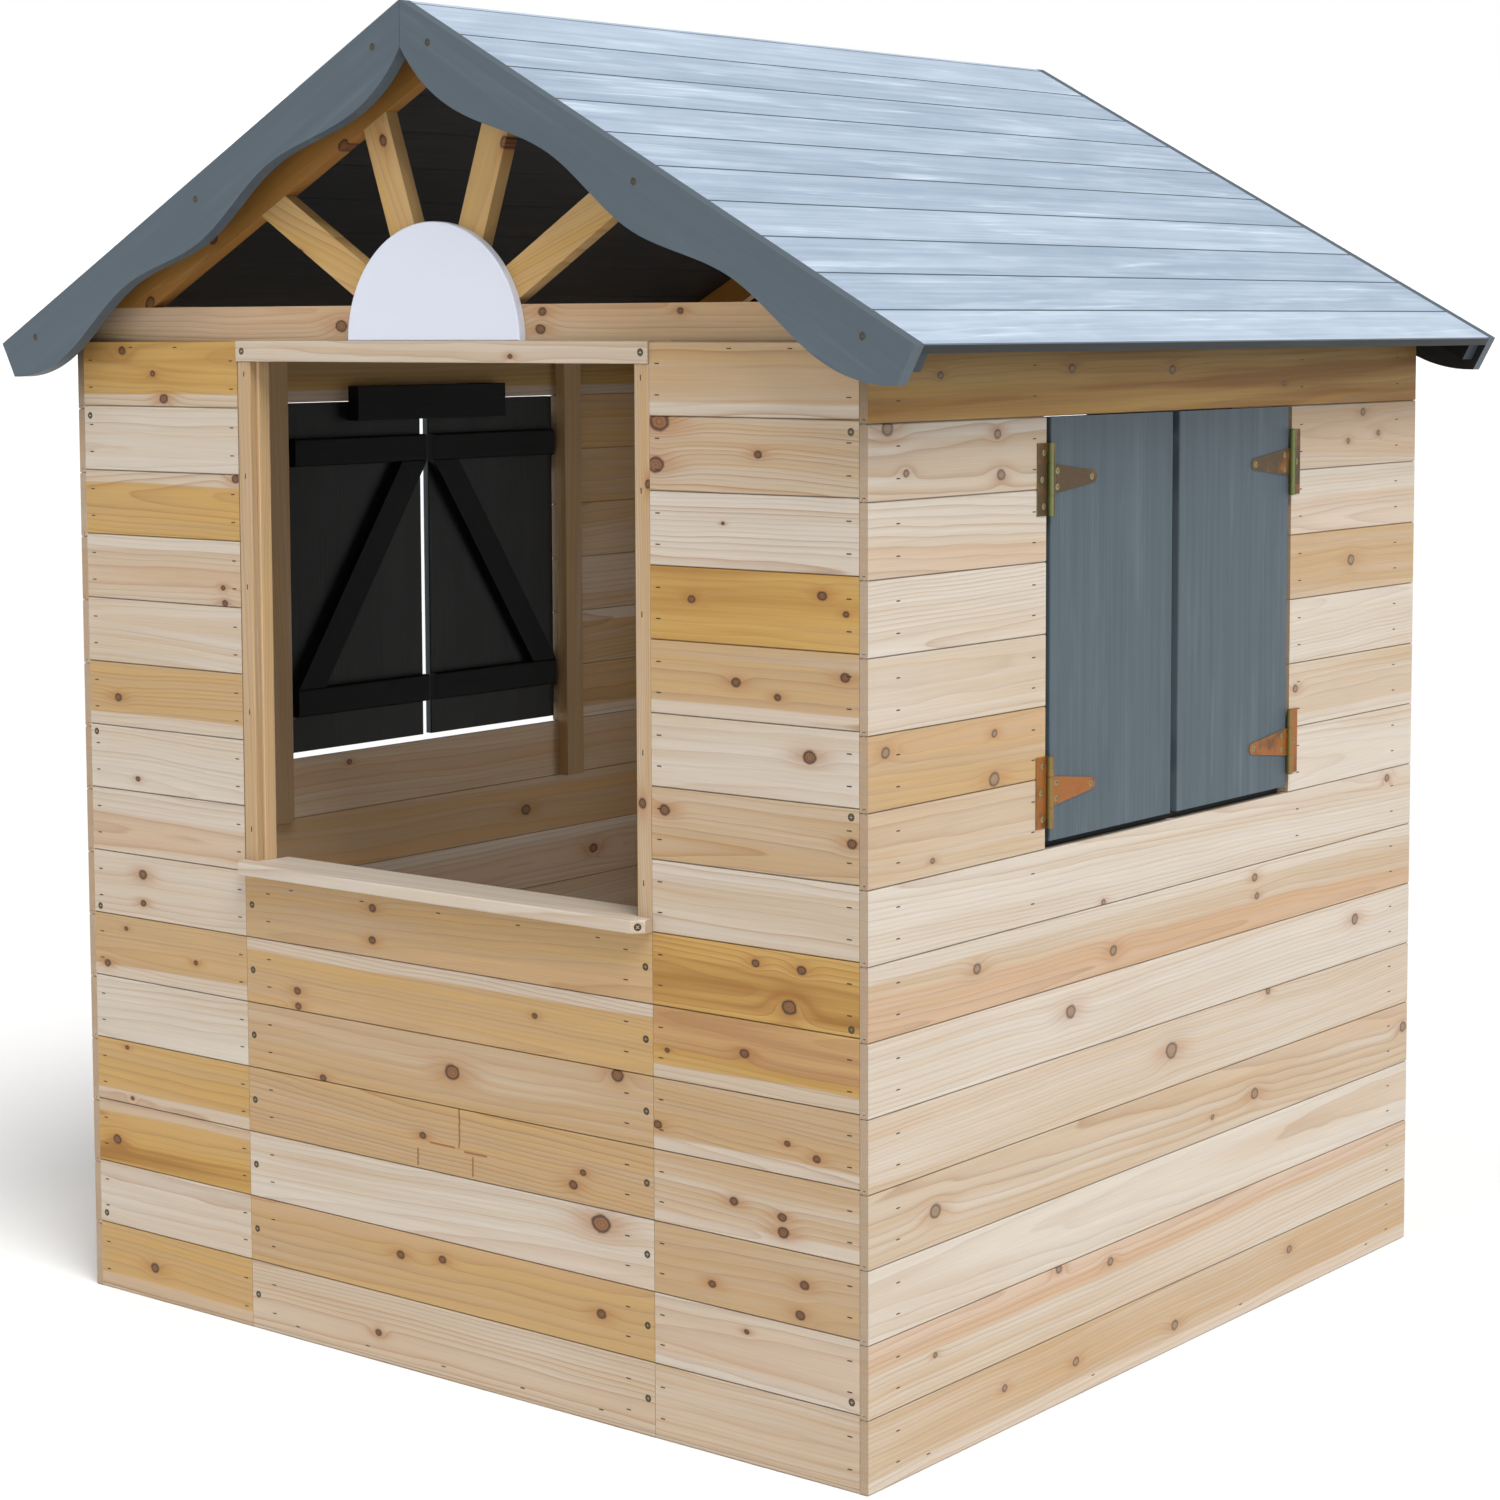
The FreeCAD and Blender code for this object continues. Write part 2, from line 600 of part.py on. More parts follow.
def barrel(low, high, bore_radius):
    """A knuckle around the front pin of the right-hand window."""
    axis = Vector(pin_x, -pin_y, low)
    return Part.makeCylinder(BARREL_RADIUS, high - low, axis), Part.makeCylinder(bore_radius, high - low, axis)


def hinge_plate(centre):
    """Fixed leaf with its two end knuckles, on the wall in front of the right-hand window."""
    low = centre - HINGE_HEIGHT / 2
    high = centre + HINGE_HEIGHT / 2
    gap_low = centre - STRAP_ROOT_HEIGHT / 2 - KNUCKLE_GAP
    gap_high = centre + STRAP_ROOT_HEIGHT / 2 + KNUCKLE_GAP
    plate = box((half_width, -pin_y - HINGE_PLATE_WIDTH, low), (half_width + HINGE_SHEET, -pin_y, high))
    room = Part.makeCylinder(BARREL_RADIUS + KNUCKLE_GAP, gap_high - gap_low, Vector(pin_x, -pin_y, gap_low))
    plate = plate.cut(room)
    for start, end in ((low, gap_low), (gap_high, high)):
        knuckle, bore = barrel(start, end, PIN_RADIUS)
        plate = plate.fuse(knuckle).cut(bore)
    for place, _ in plate_screw_places(centre):
        plate = plate.cut(screw_hole(place))
    return largest_solid(plate.removeSplitter())


def hinge_strap(centre):
    """Tapered strap with the middle knuckle, on the front shutter of the right-hand window."""
    root = STRAP_ROOT_HEIGHT / 2
    tip = STRAP_TIP_HEIGHT / 2
    tip_y = STRAP_LENGTH - pin_y - tip
    shoulder_y = BARREL_RADIUS + KNUCKLE_GAP - pin_y
    outline = [
        Vector(shutter_face, -pin_y, centre - root),
        Vector(shutter_face, shoulder_y, centre - root),
        Vector(shutter_face, tip_y, centre - tip),
        Vector(shutter_face, tip_y, centre + tip),
        Vector(shutter_face, shoulder_y, centre + root),
        Vector(shutter_face, -pin_y, centre + root),
    ]
    rounded_tip = Part.makeCylinder(tip, HINGE_SHEET, Vector(shutter_face, tip_y, centre), X)
    strap = prism(outline, X * HINGE_SHEET).fuse(rounded_tip)
    knuckle, bore = barrel(centre - root, centre + root, PIN_RADIUS + PIN_CLEARANCE)
    strap = strap.fuse(knuckle).cut(bore)
    for place, _ in strap_screw_places(centre):
        strap = strap.cut(screw_hole(place))
    return largest_solid(strap.removeSplitter())


def hinge_pin(centre):
    length = HINGE_HEIGHT + 2 * PIN_PROUD
    return Part.makeCylinder(PIN_RADIUS, length, Vector(pin_x, -pin_y, centre - length / 2))


def screw_hole(place):
    """Straight clearance hole for a hinge screw, through the sheet under its head."""
    radius = HINGE_SCREW_HEAD + HINGE_SCREW_HOLE_CLEARANCE
    return Part.makeCylinder(radius, 3 * HINGE_SHEET, place - X * (2 * HINGE_SHEET), X)


def plate_screw_places(centre):
    """Screw heads on a fixed leaf: two near its ends and one further out in the middle."""
    face = half_width + HINGE_SHEET
    inner = -pin_y - HINGE_PLATE_WIDTH * 0.45
    outer = -pin_y - HINGE_PLATE_WIDTH * 0.6
    reach = HINGE_HEIGHT * 0.37
    spots = ((inner, -reach), (outer, 0), (inner, reach))
    return [(Vector(face, y, centre + z), X) for y, z in spots]


def strap_screw_places(centre):
    """Screw heads on a strap: two at its root and one near its tip."""
    face = shutter_face + HINGE_SHEET
    root_y = -pin_y + STRAP_LENGTH * 0.16
    tip_y = -pin_y + STRAP_LENGTH - STRAP_TIP_HEIGHT * 0.7
    reach = STRAP_ROOT_HEIGHT * 0.26
    spots = ((root_y, -reach), (root_y, reach), (tip_y, 0))
    return [(Vector(face, y, centre + z), X) for y, z in spots]


# --- Fasteners -------------------------------------------------------------------------------------
def at_places(fastener, places):
    return [placed(fastener, position, heading) for position, heading in places]


def hinge_screws(places_at):
    """Screws of one shutter's two hinges; places_at gives those of the hinge at one height."""
    places = [place for height in hinge_heights for place in places_at(height)]
    return at_places(screw(HINGE_SCREW_HEAD, SCREW_SHANK, HINGE_SCREW_LENGTH), places)


def barge_screws():
    """Three screws in the right-hand front barge board."""
    stations = (FIRST_CREST * 0.45, slope_length / 2, slope_length - LAST_CREST * 0.6)
    places = []
    for along in stations:
        x, z = slope_point(along, BARGE_END_DEPTH / 2)
        places.append((Vector(x, -half_depth - GABLE_OVERHANG, z), -Y))
    return at_places(screw(SCREW_HEAD, SCREW_SHANK, LONG_SCREW), places)


def panel_screws():
    """Four screws through the front panel into the side wall's post, on the right."""
    x = inner_x - BATTEN_THICK * 0.6
    places = []
    for row, share in PANEL_SCREW_SPOTS:
        height = row_base(row, END_PANEL_LIP) + row_cover(row, END_PANEL_LIP) * share
        places.append((Vector(x, -half_depth, height), -Y))
    return at_places(screw(SCREW_HEAD, SCREW_SHANK, LONG_SCREW), places)


def short_screws(places):
    return both_sides(at_places(screw(SCREW_HEAD, SCREW_SHANK, SHORT_SCREW), places))


def counter_screws():
    """One screw a board at both ends of the counter panel, and one in each chamfer of the shelf."""
    places = []
    for row in range(COUNTER_ROWS):
        height = row_base(row, END_PANEL_LIP) + row_cover(row, END_PANEL_LIP) / 2
        places.append((Vector(half_hatch - SCREW_FROM_END, -half_depth, height), -Y))
    chamfer_x = half_hatch - FIT_GAP - SHELF_CHAMFER / 2
    chamfer_y = -half_depth - SHELF_PROJECTION + SHELF_CHAMFER / 2
    diagonal = Vector(1, -1, 0).normalize()
    places.append((Vector(chamfer_x, chamfer_y, counter_top + SHELF_THICK / 2), diagonal))
    return short_screws(places)


def lintel_screws():
    """One screw near each end of the front lintel."""
    face = -inner_y - LINTEL_THICK
    return short_screws([(Vector(half_hatch - SCREW_FROM_END, face, panel_top - LINTEL_HEIGHT / 2), -Y)])


def staple_column(x, y, rows, lip, heading):
    """Two level staples a board up one batten."""
    fastener = staple()
    if heading == X:
        fastener.rotate(Vector(0, 0, 0), Z, 90)
    places = []
    for row in rows:
        for share in STAPLE_STEPS:
            height = row_base(row, lip) + row_cover(row, lip) * share
            places.append((Vector(x, y, height), heading))
    return at_places(fastener, places)


def staple_line(start, finish, shares, height):
    """Level staples through boards of the front into a rail that runs from start to finish."""
    places = [(Vector(start + share * (finish - start), -half_depth, height), -Y) for share in shares]
    return at_places(staple(), places)


def end_panel_staples():
    """Staples of the front panel to the right of the hatch."""
    rows = range(BOARD_ROWS)
    jamb_x = half_hatch + JAMB_BATTEN_HIDDEN / 2
    corner_x = panel_edge - CORNER_BATTEN_WIDTH / 2
    jamb = staple_column(jamb_x, -half_depth, rows, END_PANEL_LIP, -Y)
    corner = staple_column(corner_x, -half_depth, rows, END_PANEL_LIP, -Y)
    rail = staple_line(*panel_rail_span, PANEL_RAIL_STAPLES, panel_top - PANEL_RAIL_STAPLE_DROP)
    return jamb + corner + rail


def counter_staples():
    x = jamb_edge - FIT_GAP - COUNTER_BATTEN_WIDTH / 2
    columns = both_sides(staple_column(x, -half_depth, range(COUNTER_ROWS), END_PANEL_LIP, -Y))
    middle = LEVEL_RAIL_HEIGHT / 2
    rails = [staple_line(-counter_rail_reach, counter_rail_reach, COUNTER_RAIL_STAPLES, height)
             for height in (middle, counter_top - middle)]
    return columns + rails[0] + rails[1]


def side_wall_staples():
    """Staples of the right-hand wall, into its posts and window battens."""
    post_y = frame_y - FIT_GAP - SIDE_POST_WIDTH / 2
    beside_y = pin_y + HINGE_PLATE_WIDTH + STAPLE_TO_HINGE + STAPLE_CROWN / 2
    first = WINDOW_FIRST_ROW - WINDOW_BATTEN_ROWS_BELOW
    posts = staple_column(half_width, -post_y, range(BOARD_ROWS), 0, X)
    beside = staple_column(half_width, -beside_y, range(first, BOARD_ROWS), 0, X)
    fastener = staple()
    fastener.rotate(Vector(0, 0, 0), Z, 90)
    places = [(Vector(half_width, (2 * share - 1) * wall_rail_reach, LEVEL_RAIL_HEIGHT / 2), X)
              for share in WALL_RAIL_STAPLES]
    return both_ends(posts + beside) + at_places(fastener, places)


# --- The nodes ---------------------------------------------------------------------------------
def house_nodes():
    """Everything that stays still."""
    front_boards = end_panel_boards()
    front_battens = end_panel_battens()
    wall_boards = side_wall_boards()
    wall_battens = side_wall_battens()
    slope_boards = roof_boards()
    barge = barge_board()
    front_rafters = both_sides([rafter(FRONT_RAFTER_DEPTH)])
    rear_rafters = mirrored(both_sides([rafter(REAR_RAFTER_DEPTH)]), Y)
    plates = [hinge_plate(height) for height in hinge_heights]
    pins = [hinge_pin(height) for height in hinge_heights]
    return {
        "front_right_boards": front_boards,
        "front_left_boards": mirrored(front_boards, X),
        "front_right_battens": front_battens,
        "front_left_battens": mirrored(front_battens, X),
        "counter_boards": counter_boards(),
        "counter_battens": counter_battens(),
        "counter_shelf": [counter_shelf()],
        "hatch_trims": hatch_trims(),
        "hatch_lintel": [lintel()],
        "rear_right_boards": mirrored(front_boards, Y),
        "rear_left_boards": mirrored(mirrored(front_boards, X), Y),
        "rear_right_battens": mirrored(front_battens, Y),
        "rear_left_battens": mirrored(mirrored(front_battens, X), Y),
        "doorway_lintel": mirrored([lintel()], Y),
        "right_wall_boards": wall_boards,
        "left_wall_boards": mirrored(wall_boards, X),
        "right_wall_battens": wall_battens,
        "left_wall_battens": mirrored(wall_battens, X),
        "right_window_stop": [window_stop(), sill_strip()],
        "left_window_stop": mirrored([window_stop()], X),
        "eave_plates": both_sides([eave_plate()]),
        "front_gable_beam": [gable_beam()],
        "rear_gable_beam": mirrored([gable_beam()], Y),
        "front_rafters": front_rafters,
        "rear_rafters": rear_rafters,
        "sun_rays": sun_rays(),
        "sun_disc": [sun_disc()],
        "right_roof_boards": slope_boards,
        "left_roof_boards": mirrored(slope_boards, X),
        "roof_end_battens": both_ends(both_sides([roof_end_batten()])),
        "front_right_barge_board": [barge],
        "front_left_barge_board": mirrored([barge], X),
        "rear_right_barge_board": mirrored([barge], Y),
        "rear_left_barge_board": mirrored(mirrored([barge], X), Y),
        "barge_screws": both_ends(both_sides(barge_screws())),
        "panel_screws": both_ends(both_sides(panel_screws())),
        "counter_screws": counter_screws(),
        "lintel_screws": both_ends(lintel_screws()),
        "end_panel_staples": both_ends(both_sides(end_panel_staples())),
        "counter_staples": counter_staples(),
        "side_wall_staples": both_sides(side_wall_staples()),
        "hinge_plates": both_sides(both_ends(plates)),
        "hinge_pins": both_sides(both_ends(pins)),
        "hinge_plate_screws": both_sides(both_ends(hinge_screws(plate_screw_places))),
    }


def shutter_nodes():
    """Four shutters with their straps and screws, one moving body each."""
    drawn = {
        "shutter_board": [shutter_board()],
        "shutter_braces": shutter_braces(),
        "hinge_straps": [hinge_strap(height) for height in hinge_heights],
        "strap_screws": hinge_screws(strap_screw_places),
    }
    nodes = {}
    for name, solids in drawn.items():
        nodes["right_front_" + name] = solids
        nodes["right_rear_" + name] = mirrored(solids, Y)
        nodes["left_front_" + name] = mirrored(solids, X)
        nodes["left_rear_" + name] = mirrored(mirrored(solids, X), Y)
    return nodes


def main():
    os.makedirs("parts", exist_ok=True)
    nodes = {**house_nodes(), **shutter_nodes()}
    for name, solids in nodes.items():
        Part.makeCompound(solids).exportStep("parts/" + name + ".step")
    print(len(nodes), "nodes,", sum(len(solids) for solids in nodes.values()), "solids")


main()
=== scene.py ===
"""Finishes a wooden playhouse: fir boards, grey-blue stain, white paint, hinges, fasteners and stage.

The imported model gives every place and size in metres, with the ground at z = 0, the serving
counter facing -Y and the right-hand window facing +X.
"""
import math
import random

import bpy
from mathutils import Matrix, Vector


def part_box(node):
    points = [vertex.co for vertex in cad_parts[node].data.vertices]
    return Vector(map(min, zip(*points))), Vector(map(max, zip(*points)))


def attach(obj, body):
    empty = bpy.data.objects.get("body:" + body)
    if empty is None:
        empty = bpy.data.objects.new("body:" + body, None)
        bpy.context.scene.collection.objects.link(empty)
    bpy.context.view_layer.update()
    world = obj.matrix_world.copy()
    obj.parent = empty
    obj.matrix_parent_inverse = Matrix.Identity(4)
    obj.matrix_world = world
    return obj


bl_info = {
    "name": "Wooden playhouse",
    "version": (1, 0, 0),
    "blender": (4, 5, 0),
    "location": "3D View > Sidebar > Playhouse",
    "description": "Gives a wooden playhouse its timber, stain, paint, metal and stage",
    "category": "Object",
}

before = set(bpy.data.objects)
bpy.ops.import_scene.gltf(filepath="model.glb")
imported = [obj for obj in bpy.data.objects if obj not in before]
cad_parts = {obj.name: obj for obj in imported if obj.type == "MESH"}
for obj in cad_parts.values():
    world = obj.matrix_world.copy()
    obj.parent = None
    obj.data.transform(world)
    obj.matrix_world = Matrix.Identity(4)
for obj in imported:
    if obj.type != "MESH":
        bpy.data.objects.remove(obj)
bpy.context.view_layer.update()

# --- Places read from the frame --------------------------------------------------------------
BOARD_COVER = 0.075
PANEL_LIP = 0.004                 # the end panels' seams lie this much higher than the side walls'
WALL_ROWS = 15
WINDOW_ROWS = range(8, 14)        # rows of a side wall that its window cuts through
RIDGE_BOARD = 0.082               # cover of the roof board at the ridge
WALL_LOW, WALL_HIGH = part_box("right_wall_boards")
PANEL_LOW, PANEL_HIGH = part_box("front_right_boards")
COUNTER_LOW, COUNTER_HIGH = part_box("counter_boards")
ROOF_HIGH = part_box("right_roof_boards")[1]
BEAM_LOW, BEAM_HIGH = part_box("front_gable_beam")
SHELF_LOW, SHELF_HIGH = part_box("counter_shelf")
TRIM_LOW, TRIM_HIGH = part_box("hatch_trims")
ROOF_PITCH = math.radians(28.5)
RAY_FOOT = 0.04                   # the rays spread from this far below the top of the gable beam
RAYS_A_RADIAN = 1.27
SHUTTER_MIDDLE = 0.83             # height of the middle of a shutter
BRACE_REACH = 0.135               # the diagonal runs this far above and below that middle
BRACE_LEAN = math.radians(56.0)
SHUTTERS = ("right_front", "right_rear", "left_front", "left_rear")
TRIM_STAPLE_HEIGHTS = (0.578, 0.712, 0.853, 0.978, 1.092)
TRIM_STAPLE_INSET = 0.011
STAPLE_SKEW = 0.12                # largest turn, in radians, of a staple out of line
STAPLE_SEED = 4
LARGEST_KNOT = 0.0165             # radius, in metres, of a knot whose share in the tables is 1
LIST_KNOT = 20.0                  # size of the same knot in the lists of knots
HOUSE = "house"


def linear(code):
    """Linear red, green, blue and alpha of a six-digit colour code."""
    parts = [int(code[place:place + 2], 16) / 255 for place in (0, 2, 4)]
    return tuple(part / 12.92 if part <= 0.04045 else ((part + 0.055) / 1.055) ** 2.4 for part in parts) + (1.0,)


# --- Settings ----------------------------------------------------------------------------------
def colour_setting(name, description, code):
    return bpy.props.FloatVectorProperty(name=name, description=description, subtype="COLOR", size=4,
                                         min=0.0, max=1.0, default=linear(code))


def length_setting(name, description, default):
    return bpy.props.FloatProperty(name=name, description=description, default=default, min=0.0,
                                   unit="LENGTH", precision=4)


def share_setting(name, description, default):
    return bpy.props.FloatProperty(name=name, description=description, default=default, min=0.0,
                                   max=1.0, subtype="FACTOR")


class PlayhouseTimber(bpy.types.PropertyGroup):
    """Colours and grain of the bare fir"""
    sapwood: colour_setting("Sapwood", "Palest boards", "C1B8AC")
    middle: colour_setting("Middle wood", "Boards between pale and honey", "AE9370")
    honey: colour_setting("Honey wood", "Warm boards", "B59150")
    # Painted shade in part: the top side-wall boards, just under the eaves, take their tone between honey and this
    # colour partly as painted eave shade.
    deep: colour_setting("Deep honey wood", "Warmest boards, under the eaves", "92662A")
    heart: colour_setting("Heartwood", "Pink tint inside the outer rings", "BB9A7F")
    late_ring: colour_setting("Late rings", "Thin dark line at the end of each year's growth", "8F6237")
    knot: colour_setting("Knot", "Middle of a small knot", "452B19")
    knot_red: colour_setting("Red knot", "Middle of a large knot", "66422B")
    knot_grey: colour_setting("Grey knot", "Weathered knots and rings of the side walls", "94836F")
    knot_rim: colour_setting("Knot rim", "Bark line around a knot", "331E14")
    knot_stain: colour_setting("Knot stain", "Resin around a knot", "9A6532")
    resin: colour_setting("Resin", "Resin in a cracked board", "7E4422")
    end_grain: colour_setting("End grain", "Sawn ends", "A3937E")
    seam: colour_setting("Seam", "Shade in the joints between boards", "4A3A2C")
    ring_spacing: length_setting("Ring spacing", "Smallest distance between growth rings", 0.0042)
    ring_spread: length_setting("Ring spread", "How much wider the rings of some boards are", 0.0065)
    ring_strength: share_setting("Ring strength", "How dark the late rings are", 0.44)
    fibre_strength: share_setting("Fibre strength", "How much the fibres change the colour", 0.12)
    # Painted light: brightens the faces that look indoors, and every face of pieces that stand indoors, in place
    # of the light inside the house.
    painted_indoor_light: share_setting("Painted indoor light", "How much paler the faces that look indoors are", 0.62)


class PlayhouseStain(bpy.types.PropertyGroup):
    """Colours of the stained and painted pieces"""
    roof: colour_setting("Roof stain", "Stain on the roof boards", "8698AC")
    roof_pale: colour_setting("Roof grain", "Pale grain that shows through the roof stain", "BAC7D5")
    roof_edge: colour_setting("Roof edge", "Stain that gathers on edges and in the seams", "4C5863")
    barge: colour_setting("Barge stain", "Stain on barge boards and end battens", "45515A")
    barge_pale: colour_setting("Barge grain", "Grain under the barge stain", "54606A")
    shutter: colour_setting("Shutter stain", "Stain on the shutters", "38454D")
    shutter_pale: colour_setting("Shutter grain", "Grain under the shutter stain", "4F5B63")
    # Painted shade: near-black coat on the faces that look indoors and under the roof, standing in for the shade
    # there.
    inside: colour_setting("Painted indoor shade", "Dark coat on the faces that look indoors", "0C0D0D")
    paint: colour_setting("Sun paint", "Paint on the half-round sun", "CACFDC")


class PlayhouseMetal(bpy.types.PropertyGroup):
    """Colours of hinges and fasteners"""
    film: colour_setting("Brown film", "Passive film on the flat of the hinges", "4E3722")
    film_green: colour_setting("Green film", "Film on barrels, edges and pins", "6D7548")
    film_copper: colour_setting("Copper film", "Thick film, mostly on the lower hinges", "985A22")
    steel: colour_setting("Screw steel", "Dull coated screws", "4D4738")
    hinge_screw: colour_setting("Hinge screws", "Brighter screws in the hinges", "8E8862")
    staple: colour_setting("Staple steel", "Staples and the shade inside screw slots", "4A3E32")
    staple_crown: length_setting("Staple crown", "Length of the staples that the script adds", 0.0058)
    staple_wire: length_setting("Staple wire", "Thickness of their wire", 0.0011)


class PlayhouseStage(bpy.types.PropertyGroup):
    """Camera, lights and floor"""
    floor: colour_setting("Floor", "Floor colour", "F0F0F0")
    floor_radius: length_setting("Floor radius", "Reach of the floor", 30.0)
    camera: bpy.props.FloatVectorProperty(name="Camera place", description="Where the camera stands",
                                          subtype="TRANSLATION", unit="LENGTH", size=3,
                                          default=(2.384, -3.031, 1.143))
    yaw: bpy.props.FloatProperty(name="Camera yaw", description="Turn to the left of straight back",
                                 subtype="ANGLE", default=math.radians(38.42))
    pitch: bpy.props.FloatProperty(name="Camera pitch", description="Tilt below level", subtype="ANGLE",
                                   default=math.radians(4.88))
    roll: bpy.props.FloatProperty(name="Camera roll", description="Turn about the line of sight",
                                  subtype="ANGLE", default=math.radians(-0.21))
    lens: bpy.props.FloatProperty(name="Lens", description="Focal length in millimetres on a 36 mm sensor",
                                  default=76.9, min=1.0)
    shift: bpy.props.FloatProperty(name="Upright shift", description="Camera's vertical shift", default=-0.1)
    sky: share_setting("Sky", "Strength of the sky above the bright horizon", 0.42)
    overhead: bpy.props.FloatProperty(name="Overhead light", description="Strength of the overhead light",
                                      default=2.9, min=0.0)
    softness: bpy.props.FloatProperty(name="Overhead softness", description="Angle that the overhead light fills",
                                      default=math.radians(32.0), subtype="ANGLE")
    front: bpy.props.FloatProperty(name="Front light", description="Power of the light in front",
                                   default=45.0, min=0.0, subtype="POWER")
    side: bpy.props.FloatProperty(name="Side light", description="Power of the light at the right",
                                  default=60.0, min=0.0, subtype="POWER")


# --- Node trees ----------------------------------------------------------------------------------
class Term:
    """A number in a node tree; arithmetic on it adds Math nodes."""

    def __init__(self, graph, socket):
        self.graph = graph
        self.socket = socket

    def __add__(self, other):
        return self.graph.math("ADD", self, other)

    __radd__ = __add__

    def __mul__(self, other):
        return self.graph.math("MULTIPLY", self, other)

    __rmul__ = __mul__

    def __sub__(self, other):
        return self.graph.math("SUBTRACT", self, other)

    def __rsub__(self, other):
        return self.graph.math("SUBTRACT", other, self)

    def __truediv__(self, other):
        return self.graph.math("DIVIDE", self, other)

    def __rtruediv__(self, other):
        return self.graph.math("DIVIDE", other, self)

    def __pow__(self, other):
        return self.graph.math("POWER", self, other)

    def __abs__(self):
        return self.graph.math("ABSOLUTE", self)


class Graph:
    """Builds one node tree."""

    def __init__(self, tree):
        self.tree = tree
        self.tree.nodes.clear()

    def node(self, kind, settings=None, sockets=None):
        """A node of this kind: its settings first, then the values or links of its sockets."""
        made = self.tree.nodes.new(kind)
        for name, value in (settings or {}).items():
            if name == "stops":
                fill_ramp(made.color_ramp, value)
            elif name == "interpolation":
                made.color_ramp.interpolation = value
            else:
                setattr(made, name, value)
        for name, value in (sockets or {}).items():
            value = getattr(value, "socket", value)
            if isinstance(value, bpy.types.NodeSocket):
                self.tree.links.new(value, made.inputs[name])
            else:
                made.inputs[name].default_value = value
        return made

    def term(self, node, output=0):
        return Term(self, node.outputs[output])

    def math(self, operation, *values):
        return self.term(self.node("ShaderNodeMath", {"operation": operation}, dict(enumerate(values))))

    def vector(self, x, y=0.0, z=0.0):
        return self.node("ShaderNodeCombineXYZ", None, {0: x, 1: y, 2: z}).outputs[0]

    def split(self, socket):
        """The three parts of a vector."""
        parts = self.node("ShaderNodeSeparateXYZ", None, {0: socket})
        return [self.term(parts, index) for index in range(3)]

    def noise(self, vector, scale=1.0, detail=2.0, roughness=0.5):
        made = self.node("ShaderNodeTexNoise", {"noise_dimensions": "3D"},
                         {"Vector": vector, "Scale": scale, "Detail": detail, "Roughness": roughness})
        return self.term(made)

    def chance(self, number):
        """Three random numbers from 0 to 1 for this number."""
        made = self.node("ShaderNodeTexWhiteNoise", {"noise_dimensions": "1D"}, {"W": number})
        return self.split(made.outputs["Color"])

    def smooth(self, value, low, high):
        """0 below low and 1 above high, or the other way round where low is the larger."""
        made = self.node("ShaderNodeMapRange", {"interpolation_type": "SMOOTHSTEP"},
                         {"Value": value, "From Min": low, "From Max": high})
        return self.term(made)

    def bell(self, distance):
        """1 at distance 0, falling smoothly."""
        return self.math("EXPONENT", (distance * distance) * -1.0)

    def ramp(self, value, stops, interpolation="LINEAR"):
        return self.node("ShaderNodeValToRGB", {"stops": stops, "interpolation": interpolation},
                         {0: value}).outputs[0]

    def table(self, index, rows):
        """Three numbers from 0 to 1 for a whole-number index, from a list of triples."""
        count = len(rows)
        stops = [(place / count, tuple(row) + (1.0,)) for place, row in enumerate(rows)]
        return self.split(self.ramp((index + 0.5) / count, stops, "CONSTANT"))

    def mix(self, factor, first, second, blend="MIX"):
        """Blends two colours."""
        return self.node("ShaderNodeMix", {"data_type": "RGBA", "blend_type": blend},
                         {0: factor, 6: first, 7: second}).outputs[2]

    def shade(self, colour, amount):
        """Multiplies a colour by a number."""
        colour = colour[:3] if isinstance(colour, tuple) else colour
        return self.node("ShaderNodeVectorMath", {"operation": "SCALE"}, {0: colour, "Scale": amount}).outputs[0]

    def place(self):
        """Object coordinates, as three terms."""
        return self.split(self.node("ShaderNodeTexCoord").outputs["Object"])

    def facing(self):
        """The surface normal in the object's own axes, as three terms."""
        return self.split(self.node("ShaderNodeTexCoord").outputs["Normal"])

    def surface(self, colour, roughness, height, depth, bump=0.5, constants=None, metallic=0.0):
        """Ends a material with one shader; height is in units of depth."""
        relief = self.node("ShaderNodeBump", None, {"Strength": bump, "Distance": depth, "Height": height})
        sockets = {"Base Color": colour, "Roughness": roughness, "Normal": relief.outputs[0],
                   "Metallic": metallic}
        sockets.update(constants or {})
        shader = self.node("ShaderNodeBsdfPrincipled", None, sockets)
        self.node("ShaderNodeOutputMaterial", None, {"Surface": shader.outputs[0]})


def fill_ramp(ramp, stops):
    """Leaves only these stops on a colour ramp."""
    while len(ramp.elements) > 1:
        ramp.elements.remove(ramp.elements[-1])
    ramp.elements[0].position = stops[0][0]
    ramp.elements[0].color = stops[0][1]
    for position, colour in stops[1:]:
        ramp.elements.new(position).color = colour


def new_material(name):
    """An empty material and the graph of its nodes."""
    material = bpy.data.materials.new(name)
    material.use_nodes = True
    return material, Graph(material.node_tree)


def finish_nodes(material, *names):
    """Puts a material on CAD nodes."""
    for name in names:
        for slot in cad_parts[name].material_slots:
            slot.material = material


# --- Growth rings, fibres and knots ------------------------------------------------------------------
class Knot:
    """One knot in a node tree: its middle along and across the grain, and its radius."""

    def __init__(self, along, across, radius):
        self.along = along
        self.across = across
        self.radius = radius


